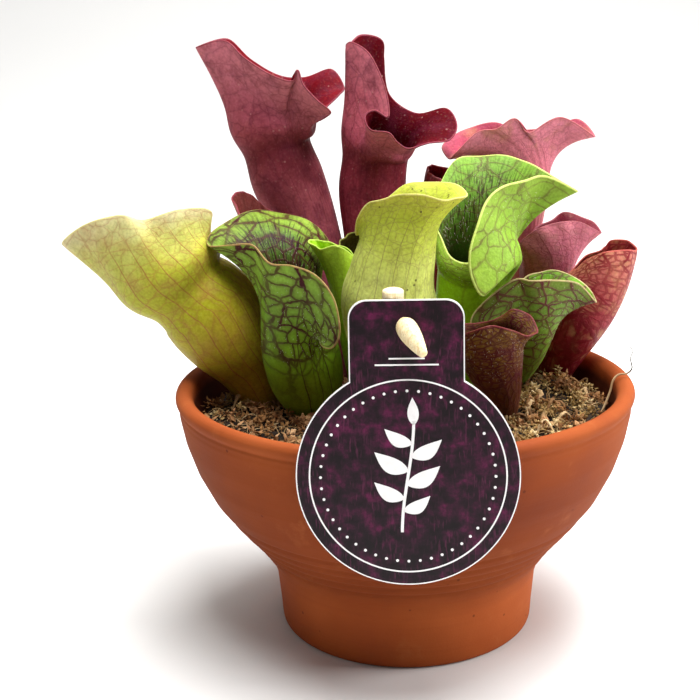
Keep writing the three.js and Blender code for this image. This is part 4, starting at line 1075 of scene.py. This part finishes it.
# name: (count, seed, least and greatest radius, least and greatest length, greatest arch, sides,
#        where they lie, tones)
MOSS_STRANDS = {
    "moss_threads": (700, 23, (0.1, 0.24), (5.0, 12.0), 2.4, 4, {},
                     [(0.0, "5a3a1e"), (0.5, "a07a48"), (1.0, "e6cc9c")]),
    "moss_ropes": (520, 41, (0.4, 0.9), (5.0, 12.0), 4.6, 7, {"pale_and_lit_left_share": 0.06},
                   [(0.0, "5e3f20"), (0.4, "966c40"), (0.75, "caa878"), (1.0, "ecdab4")]),
}


def moss_height(x, y):
    """Height of the moss in millimetres: nearly level, a heap on the right, and low hummocks of two waves."""
    across, back, height, width = MOSS_HEAP
    heap = height * np.exp(-((x - across) ** 2 + (y - back) ** 2) / width)
    first, second = HUMMOCKS
    hummocks = first * np.sin(0.31 * x + 1.7) * np.cos(0.27 * y) + second * np.sin(0.53 * x - 0.47 * y)
    return MOSS_LEVEL + heap + hummocks


def moss_bed():
    """The bed's skin: up the pot's inner wall, then over the top in rings, each drawn in towards the middle.

    The top is roughened by a sum of short waves in random directions.
    """
    draw = np.random.default_rng(BED_SEED)
    shortest, longest = BED_WAVE_LENGTHS
    waves = [(draw.uniform(0, np.pi), draw.uniform(shortest, longest), draw.uniform(0, ONE_TURN))
             for _ in range(BED_WAVES)]
    turn = np.linspace(0, 2 * np.pi, BED_COLUMNS, endpoint=False)
    across, back = np.cos(turn), np.sin(turn)
    rings = []
    for radius, height in POT_INSIDE[5:-1][::-1]:
        level = np.full(BED_COLUMNS, max(height, POT_FLOOR + BED_LIFT))
        rings.append(np.stack([(radius - BED_GAP) * across, (radius - BED_GAP) * back, level], -1))
    for share in np.linspace(1.0, BED_MIDDLE, BED_RINGS):
        x, y = MOSS_EDGE * share * across, MOSS_EDGE * share * back
        rough = np.zeros_like(x)
        for heading, length, phase in waves:
            way = x * np.cos(heading) + y * np.sin(heading)
            rough += np.sin(way * ONE_TURN / length + phase) * length / longest
        rings.append(np.stack([x, y, moss_height(x, y) - BED_DROP + BED_WAVE_HEIGHT * rough], -1))
    return np.array(rings) * MM


def strand_lines(count, seed, radii, lengths, arch, stations, middle=None, spread=None, pale_and_lit_left_share=None):
    """Middle lines, radii and shades of many strands. Each sets out in a random direction, curls and wavers.

    It arches over the bed as half a sine wave, and its radius tapers to both ends with a random lumpiness.
    middle and spread gather the strands about a place, and the left share is the share that is kept on the
    left, so pale strands gather on the right as partly the moss's mix and partly painted light.
    """
    draw = np.random.default_rng(seed)
    if middle is None:
        reach = MOSS_EDGE * MOSS_SPREAD * np.sqrt(draw.random(count))
        around_pot = draw.uniform(0, 2 * np.pi, count)
        x0, y0 = reach * np.cos(around_pot), reach * np.sin(around_pot)
    else:
        x0, y0 = (draw.normal(middle[k], spread[k], count) for k in (0, 1))
    # Pale strands are kept mostly on the right: partly the moss's own mix, partly painted light from the
    # right.
    if pale_and_lit_left_share is not None:
        kept = draw.random(count) < np.where(x0 > PALE_AND_LIT_FROM, 1.0, pale_and_lit_left_share)
        x0, y0 = x0[kept], y0[kept]
        count = len(x0)
    heading = draw.uniform(0, 2 * np.pi, (count, 1))
    curl = draw.normal(0, STRAND_CURL, (count, 1))
    stride = draw.uniform(*lengths, (count, 1)) / (stations - 1)
    s = np.linspace(0, 1, stations)[None, :]
    direction = heading + curl * s + np.cumsum(draw.normal(0, STRAND_WAVER, (count, stations)), 1)
    x = x0[:, None] + np.cumsum(stride * np.cos(direction), 1)
    y = y0[:, None] + np.cumsum(stride * np.sin(direction), 1)
    pull = np.minimum(1.0, MOSS_EDGE / np.maximum(np.hypot(x, y), 1e-6))
    x, y = x * pull, y * pull
    rise = draw.uniform(*STRAND_ARCHES, (count, 1)) ** STRAND_ARCH_POWER * arch * np.sin(np.pi * s)
    z = moss_height(x, y) - STRAND_DROP + rise + draw.normal(0, STRAND_LIFT, (count, 1))
    taper = np.sin(np.pi * (STRAND_TAPER[0] + STRAND_TAPER[1] * s)) ** 0.5
    radius = draw.uniform(*radii, (count, 1)) * taper * draw.uniform(*STRAND_LUMPS, (count, stations))
    return np.stack([x, y, z], -1), radius, draw.random(count)


def beside(lines):
    """Three directions at every point of many lines: along them, level across them, and over them."""
    along = unit(np.gradient(lines, axis=1))
    level = unit(np.cross(along, np.array([0.0, 0.0, 1.0])) + 1e-9)
    return along, level, np.cross(level, along)


def shaded_piece(name, points, faces, shades, finish_material, smooth):
    """A piece whose points each hold a shade, with the points in millimetres."""
    piece = new_piece(name, (points.reshape(-1, 3) * MM).tolist(), faces, [finish_material], smooth)
    shade = piece.data.attributes.new("shade", "FLOAT", "POINT").data
    shade.foreach_set("value", shades.astype(np.float32))
    settle(piece, None)


def strand_piece(name, lines, radii, shades, sides, finish_material):
    """One mesh of many closed strands: flattened rings round each middle line, with a point at both ends."""
    count, stations = radii.shape
    _, level, over = beside(lines)
    turn = np.linspace(0, 2 * np.pi, sides, endpoint=False)
    rounded = np.cos(turn)[:, None] * level[:, :, None]
    ring = rounded + STRAND_FLATNESS * np.sin(turn)[:, None] * over[:, :, None]
    points = lines[:, :, None] + radii[:, :, None, None] * ring
    points = np.concatenate([points.reshape(count, -1, 3), lines[:, :1], lines[:, -1:]], 1)
    per = stations * sides + 2
    i, edge = np.arange(stations - 1)[:, None], np.arange(sides)
    after = (edge + 1) % sides
    here, there = i * sides, (i + 1) * sides
    quads = np.stack([here + edge, there + edge, there + after, here + after], -1).reshape(-1, 4)
    tip = (stations - 1) * sides
    caps = np.concatenate([
        np.stack([np.full(sides, per - 2), edge, after], -1),
        np.stack([np.full(sides, per - 1), tip + after, tip + edge], -1),
    ])
    shift = (np.arange(count) * per)[:, None, None]
    faces = (quads[None] + shift).reshape(-1, 4).tolist() + (caps[None] + shift).reshape(-1, 3).tolist()
    shaded_piece(name, points, faces, np.repeat(shades, per), finish_material, True)


def tuft_piece(name, lines, shades, leaflet, seed, finish_material):
    """One mesh of many leafy stems: small closed leaflets sit round each stem at the golden angle.

    A leaflet points along the stem and tips outwards, by 25 to 75 degrees, and is twisted a little about its
    own length. Its shade is the stem's with some of its own.
    """
    draw = np.random.default_rng(seed)
    count, stations = lines.shape[:2]
    along, level, over = beside(lines)
    turn = np.arange(stations)[None, :] * LEAFLET_TURN + draw.uniform(0, ONE_TURN, (count, 1))
    out = np.cos(turn)[..., None] * level + np.sin(turn)[..., None] * over
    tip = np.radians(draw.uniform(*LEAFLET_TIPS, (count, stations)))[..., None]
    ahead = np.cos(tip) * along + np.sin(tip) * out
    side = unit(np.cross(out, ahead))
    twist = draw.normal(0, LEAFLET_TWIST, (count, stations))[..., None]
    lift = np.cross(ahead, side)
    side, lift = np.cos(twist) * side + np.sin(twist) * lift, np.cos(twist) * lift - np.sin(twist) * side
    size = draw.uniform(*LEAFLET_SIZES, (count, stations))[..., None, None]
    length, width = leaflet
    shape = LEAFLET * np.array([length, width, length])
    axes = (ahead[:, :, None], side[:, :, None], lift[:, :, None])
    points = shape[:, :1] * axes[0] + shape[:, 1:2] * axes[1] + shape[:, 2:] * axes[2]
    points = lines[:, :, None] + LEAFLET_OFF_STEM * out[:, :, None] + size * points
    corners = len(LEAFLET)
    faces = LEAFLET_FACES[None] + corners * np.arange(count * stations)[:, None, None]
    own = draw.random((count, stations))
    tone = (1 - LEAFLET_OWN_SHADE) * shades[:, None] + LEAFLET_OWN_SHADE * own
    shades = np.repeat(tone.ravel(), corners)
    shaded_piece(name, points, faces.reshape(-1, 3).tolist(), shades, finish_material, False)


def moss_finish(name, tones):
    """Dry leafy moss: a tone of its own for each strand, mottled along it, with a papery grain."""
    finish = Finish(name, 0.85)
    mottle = finish.noise(0.0009, 4.0, rough=0.75)
    tone = finish.sum(finish.times(finish.value("shade"), 0.65), finish.times(mottle, 0.9))
    return finish.wear(finish.ramp(finish.sum(tone, 0.28, "SUBTRACT"), tones), mottle, 0.0005, 1.0)


def shade_bed_finish():
    """The bed between the strands, painted nearly black as the shade in the gaps, with brown fibres."""
    finish = Finish("moss_bed", 0.95)
    bed_mottle = finish.noise(0.0016, 4.0, rough=0.75)
    color = finish.ramp(bed_mottle, [(0.35, "0e0805"), (0.55, "261609"), (0.75, "4c341a")])
    return finish.wear(color, bed_mottle, 0.0008, 1.0)


settle(grid_piece("moss_bed", moss_bed(), shade_bed_finish()), "moss")
for moss_name, (count, seed, leaflets, lengths, arch, leaflet, where, tones) in MOSS_TUFTS.items():
    lines, _, shades = strand_lines(count, seed, (1.0, 1.0), lengths, arch, leaflets, **where)
    tuft_piece(moss_name, lines, shades, leaflet, seed, moss_finish(moss_name, tones))
for moss_name, (count, seed, radii, lengths, arch, sides, where, tones) in MOSS_STRANDS.items():
    lines, widths, shades = strand_lines(count, seed, radii, lengths, arch, STRAND_STATIONS, **where)
    strand_piece(moss_name, lines, widths, shades, sides, moss_finish(moss_name, tones))


# ---------------------------------------------------------------- the stake and the peg
# A round stake of pale wood stands in the moss just behind the card, cut square at its top. A short whittled
# peg of the same wood goes through the hole of the card and holds it.
STAKE_ROWS = [(-2.3, -57.8, 57.0, 2.7), (-2.3, -60.6, 88.0, 2.7), (-2.3, -63.35, 118.9, 2.7)]
STAKE_GRID = (60, 40)
BEVEL_HEIGHT = 0.75
BEVEL_ANGLES = (15, 30, 45, 60, 75)
PEG_ROWS = [
    (0.3, -66.9, 111.6, 1.7), (0.8, -68.3, 110.9, 2.6), (2.1, -70.9, 109.3, 2.6), (3.9, -73.9, 107.1, 1.8),
    (5.3, -75.9, 105.4, 0.9),
]
PEG_GRID = (48, 32)
PEG_ROUND_END = 0.06     # share of the peg's length over which each end is rounded off


def rod_points(rows, grid, round_end=0.0):
    """Rings round the spline through rows of x, y, z and radius, which falls as a circle near each end."""
    stations, sides = grid
    share = np.linspace(0, 1, stations)
    if round_end:
        share = 0.5 - 0.5 * np.cos(np.pi * share)
    line = spline(rows, share * (len(rows) - 1))
    turn = np.linspace(0, 2 * np.pi, sides, endpoint=False)
    ring = rings_round(np.gradient(line[:, :3], axis=0), turn)
    radius = line[:, 3]
    if round_end:
        end = np.clip(np.minimum(share, 1 - share) / round_end, 0, 1)
        radius = radius * np.sqrt(np.clip(1 - (1 - end) ** 2, 0.0, 1.0))
    return (line[:, None, :3] + radius[:, None, None] * ring) * MM


def wood_finish():
    """Peeled pale wood: cream, with fine fibres along it and small dark pores."""
    finish = Finish("pale_wood", 0.6)
    fibres = finish.noise(0.0005, 3.0, finish.place((1.0, 1.0, 0.08)), 0.6)
    color = finish.ramp(fibres, [(0.3, "dcb982"), (0.5, "efdcae"), (0.75, "f6ecca")])
    color = finish.blend(finish.step(finish.noise(0.003), 0.5, 0.75, 0.0, 0.6), color, "eecb88")
    color = finish.blend(finish.step(finish.dots(1700.0), 0.16, 0.3, 0.45, 0.0), color, "a88a5c")
    return finish.wear(color, fibres, 0.00012, 0.7)


pale_wood = wood_finish()
stake_points = rod_points(STAKE_ROWS, STAKE_GRID)
stake_top = stake_points[-1].mean(0)
bevel = [
    stake_top + (stake_points[-1] - stake_top) * math.cos(angle) + (0, 0, BEVEL_HEIGHT * MM * math.sin(angle))
    for angle in np.radians(BEVEL_ANGLES)
]
stake = grid_piece("stake", np.concatenate([stake_points, np.array(bevel)]), pale_wood)
settle(stake, "wooden_stake")
peg = grid_piece("peg", rod_points(PEG_ROWS, PEG_GRID, PEG_ROUND_END), pale_wood)
settle(peg, "wooden_peg")


# ---------------------------------------------------------------- the hang tag
# A die-cut card with a round body and a straight neck, printed dark plum with a white cut edge. It leans back
# over the rim, held by the peg through its hole. The print is a plain ring, dots and a leafy sprig.
TAG_RADIUS = 28.5
TAG_NECK = 29.0
TAG_TOP = 45.2
TAG_CORNER = 4.5
TAG_CARD = 0.8
TAG_LEAN = math.radians(6)
TAG_PLACE = (0.9, -71.0, 72.5)
TAG_HOLE = (-0.4, 39.1, 1.75)         # across, up and radius
BODY_POINTS = 160        # on the outline, like the four counts below
CORNER_POINTS = 14
HOLE_POINTS = 40
RING_POINTS = 120
DOT_POINTS = 12
TAG_BORDER = 0.3
BORDER_THICKNESS = 0.02
PRINT_LIFT = 0.01
PRINT_THICKNESS = 0.05
PLUM = 0
WHITE = 1
RING_RADII = (25.2, 24.8)
DOT_RING = 22.2
DOT_COUNT = 48
DOT_RADIUS = 0.38
STEM_HALF = 14.5
STEM_SWAY = 1.6
STEM_BEND = 1.5
STEM_WIDTH = 0.75
SPRIG_LEAVES = ((-0.62, 1), (-0.4, -1), (-0.15, 1), (0.1, -1), (0.35, 1), (0.58, -1))      # place and side
SPRIG_LEAF = (10.5, 4.0)              # length in the middle of the stem, and the loss towards its ends
SPRIG_LEAF_WIDTH = 0.42  # share of its length
SPRIG_RISE = (0.86, 0.5)
SPRIG_BOW = 0.9
BUD = (1.2, 0.3, 6.0, 2.9)            # start below the stem's end, shift to the left, rise and width
RULES = ((30.4, 4.5), (28.8, 8.0))    # height and half length
RULE_WIDTH = 0.4


def arc(middle, radius, start, end, count):
    """Points on a circle from one angle to another, in degrees."""
    turn = np.radians(np.linspace(start, end, count))
    return np.stack([middle[0] + radius * np.cos(turn), middle[1] + radius * np.sin(turn)], -1)


def circle(middle, radius, count):
    """A circle as an outline of so many points."""
    return arc(middle, radius, 0, 360, count + 1)[:-1]


def tag_outline(inset=0.0):
    """The card's outline: the round body up to the neck, then the neck's two rounded corners."""
    half, radius = TAG_NECK / 2 - inset, TAG_RADIUS - inset
    shoulder = math.degrees(math.acos(half / radius))
    corner, top = TAG_CORNER, TAG_TOP - inset
    return np.vstack([
        arc((0, 0), radius, 180 - shoulder, 360 + shoulder, BODY_POINTS),
        arc((half - corner, top - corner), corner, 0, 90, CORNER_POINTS),
        arc((corner - half, top - corner), corner, 90, 180, CORNER_POINTS),
    ])


def on_tag(flat, forward):
    """Card coordinates (across, up) as points in space, so many millimetres in front of the card's middle."""
    flat = np.asarray(flat, float)
    up = np.array([0.0, math.sin(TAG_LEAN), math.cos(TAG_LEAN)])
    front = np.array([0.0, -math.cos(TAG_LEAN), math.sin(TAG_LEAN)])
    place = np.array(TAG_PLACE) + flat[:, :1] * np.array([1.0, 0, 0]) + flat[:, 1:2] * up
    return (place + front * forward) * MM


def plate(outlines, low, high, face_number=0, side_number=0):
    """A flat plate, whose first outline is its edge and the others its holes.

    Returns its points, its faces, and the number of the finish that each face wears.
    """
    flat = np.vstack(outlines)
    count = len(flat)
    triangles = []
    for a, b, c in tessellate_polygon([[Vector((x, y, 0)) for x, y in outline] for outline in outlines]):
        area = np.cross(flat[b] - flat[a], flat[c] - flat[a])
        triangles.append((a, b, c) if area > 0 else (a, c, b))
    back = [(a, c, b) for a, b, c in triangles]
    front = [(a + count, b + count, c + count) for a, b, c in triangles]
    sides, first = [], 0
    for number, outline in enumerate(outlines):
        ahead = np.roll(outline, -1, 0)
        area = np.sum(outline[:, 0] * ahead[:, 1] - outline[:, 1] * ahead[:, 0])
        for k in range(len(outline)):
            a, b = first + k, first + (k + 1) % len(outline)
            if (area > 0) != (number == 0):
                a, b = b, a
            sides.append((a, b, b + count, a + count))
        first += len(outline)
    numbers = [face_number] * (len(back) + len(front)) + [side_number] * len(sides)
    return np.vstack([on_tag(flat, low), on_tag(flat, high)]), back + front + sides, numbers


def plum_finish():
    """Printed card: near-black plum with cloudy magenta patches and fine streaks, under a satin varnish."""
    finish = Finish("plum_print", 0.45, shine=0.25)
    cloud = finish.noise(0.0036, 4.0, rough=0.62)
    color = finish.ramp(cloud, [(0.38, "12040b"), (0.5, "220818"), (0.6, "3e0c2a"), (0.75, "661444")])
    streak = finish.noise(0.0011, 2.0, finish.place((1.0, 1.0, 0.16), (0.0, 0.5, 0.0)))
    low = finish.step(finish.height(), 0.05, 0.085, 0.5, 0.12)
    color = finish.blend(finish.times(finish.step(streak, 0.52, 0.66), low), color, "0d060a")
    scratch = finish.noise(0.00055, 2.0, finish.place((1.0, 1.0, 0.12), (0.3, 0.0, 0.0)))
    patch = finish.step(finish.noise(0.009, 2.0), 0.4, 0.6, 0.1, 0.4)
    color = finish.blend(finish.times(finish.step(scratch, 0.56, 0.68), patch), color, "6b2a4c")
    return finish.wear(color, finish.noise(0.0006), 0.00003, 0.4)


def white_finish():
    """White ink and the white core of the card."""
    finish = Finish("white_print", 0.5)
    return finish.wear(finish.ramp(finish.noise(0.002, 3.0), [(0.3, "efeceb"), (0.7, "faf8f7")]))


def tag_piece(name, plates, finishes):
    """One mesh from plates."""
    points, faces, numbers = [], [], []
    for plate_points, plate_faces, plate_numbers in plates:
        faces += [tuple(corner + len(points) for corner in face) for face in plate_faces]
        points += plate_points.tolist()
        numbers += plate_numbers
    piece = new_piece(name, points, faces, finishes, smooth=False)
    piece.data.polygons.foreach_set("material_index", np.array(numbers, np.int32))
    piece.data.update()
    return piece


def leaf_outline(base, tip, width, bend):
    """A pointed oval from base to tip: two sides bowed out as half sine waves, the whole bent to one side."""
    s = np.linspace(0, 1, 13)[:, None]
    base, tip = np.array(base, float), np.array(tip, float)
    side = np.array([base[1] - tip[1], tip[0] - base[0]]) / np.linalg.norm(tip - base)
    spine = base + s * (tip - base) + bend * np.sin(np.pi * s) * side
    bow = width / 2 * np.sin(np.pi * s ** 0.8) * side
    return np.vstack([spine - bow, (spine + bow)[-2:0:-1]])


def stroke(points, width):
    """A line of even width along points, as an outline."""
    points = np.asarray(points, float)
    along = unit(np.gradient(points, axis=0))
    side = np.stack([-along[:, 1], along[:, 0]], -1) * width / 2
    return np.vstack([points - side, (points + side)[::-1]])


def tag_print():
    """All printed shapes as outlines: a ring, dots, a bowed stem with leaves and a bud, and two rules."""
    outer, inner = (circle((0, 0), radius, RING_POINTS) for radius in RING_RADII)
    shapes = [[outer, inner[::-1]]]
    for angle in np.linspace(0, 2 * np.pi, DOT_COUNT, endpoint=False):
        middle = (DOT_RING * math.cos(angle), DOT_RING * math.sin(angle))
        shapes.append([circle(middle, DOT_RADIUS, DOT_POINTS)])
    s = np.linspace(-1, 1, 25)
    stem = np.stack([STEM_SWAY * np.sin(STEM_BEND * s), STEM_HALF * s], -1)
    shapes.append([stroke(stem, STEM_WIDTH)])
    for place, side in SPRIG_LEAVES:
        x, y = STEM_SWAY * math.sin(STEM_BEND * place), STEM_HALF * place
        size = SPRIG_LEAF[0] - SPRIG_LEAF[1] * abs(place)
        tip = (x + side * size * SPRIG_RISE[0], y + size * SPRIG_RISE[1])
        shapes.append([leaf_outline((x, y), tip, SPRIG_LEAF_WIDTH * size, -side * SPRIG_BOW)])
    below, shift, rise, width = BUD
    x, y = stem[-1]
    shapes.append([leaf_outline((x, y - below), (x - shift, y + rise), width, 0.0)])
    for height, half in RULES:
        shapes.append([stroke([(-half, height), (0.0, height), (half, height)], RULE_WIDTH)])
    return shapes


hole = circle(TAG_HOLE[:2], TAG_HOLE[2], HOLE_POINTS)[::-1]
border = [tag_outline(), tag_outline(TAG_BORDER)[::-1]]
card_plates = [
    plate([tag_outline(), hole], 0.0, TAG_CARD, PLUM, WHITE),
    plate(border, TAG_CARD, TAG_CARD + BORDER_THICKNESS, WHITE, WHITE),
]
plum, white = plum_finish(), white_finish()
settle(tag_piece("tag_card", card_plates, (plum, white)), "hang_tag")
ink = TAG_CARD + PRINT_LIFT
print_plates = [plate(shape, ink, ink + PRINT_THICKNESS) for shape in tag_print()]
settle(tag_piece("tag_print", print_plates, (white,)), None)


# ---------------------------------------------------------------- the loose fibre
# One dry strand of moss has come loose on the right. It lies over the rim and its thin end curls up.
FIBRE_ROWS = [
    (59.5, -4.0, 64.5, 0.35), (61.5, -3.5, 69.0, 0.35), (63.2, -3.0, 73.5, 0.35), (64.0, -3.0, 77.0, 0.33),
    (65.6, -3.0, 78.9, 0.33), (68.2, -3.0, 79.3, 0.3), (69.6, -3.0, 81.0, 0.2), (69.0, -3.0, 84.0, 0.13),
    (69.6, -3.0, 86.5, 0.11), (67.4, -3.0, 88.6, 0.08),
]
FIBRE_GRID = (120, 8)
FIBRE_ROUND_END = 0.02


def fibre_finish():
    """A dry thread, straw-coloured at its thick end and dark brown where it is thin."""
    finish = Finish("dry_fibre", 0.7)
    tone = finish.sum(finish.step(finish.height(), 0.078, 0.081), finish.times(finish.noise(0.002), 0.2))
    return finish.wear(finish.ramp(tone, [(0.1, "d8b68a"), (0.6, "8a6a48"), (1.0, "3a2a20")]))


fibre = grid_piece("fibre", rod_points(FIBRE_ROWS, FIBRE_GRID, FIBRE_ROUND_END), fibre_finish())
settle(fibre, "loose_fibre")
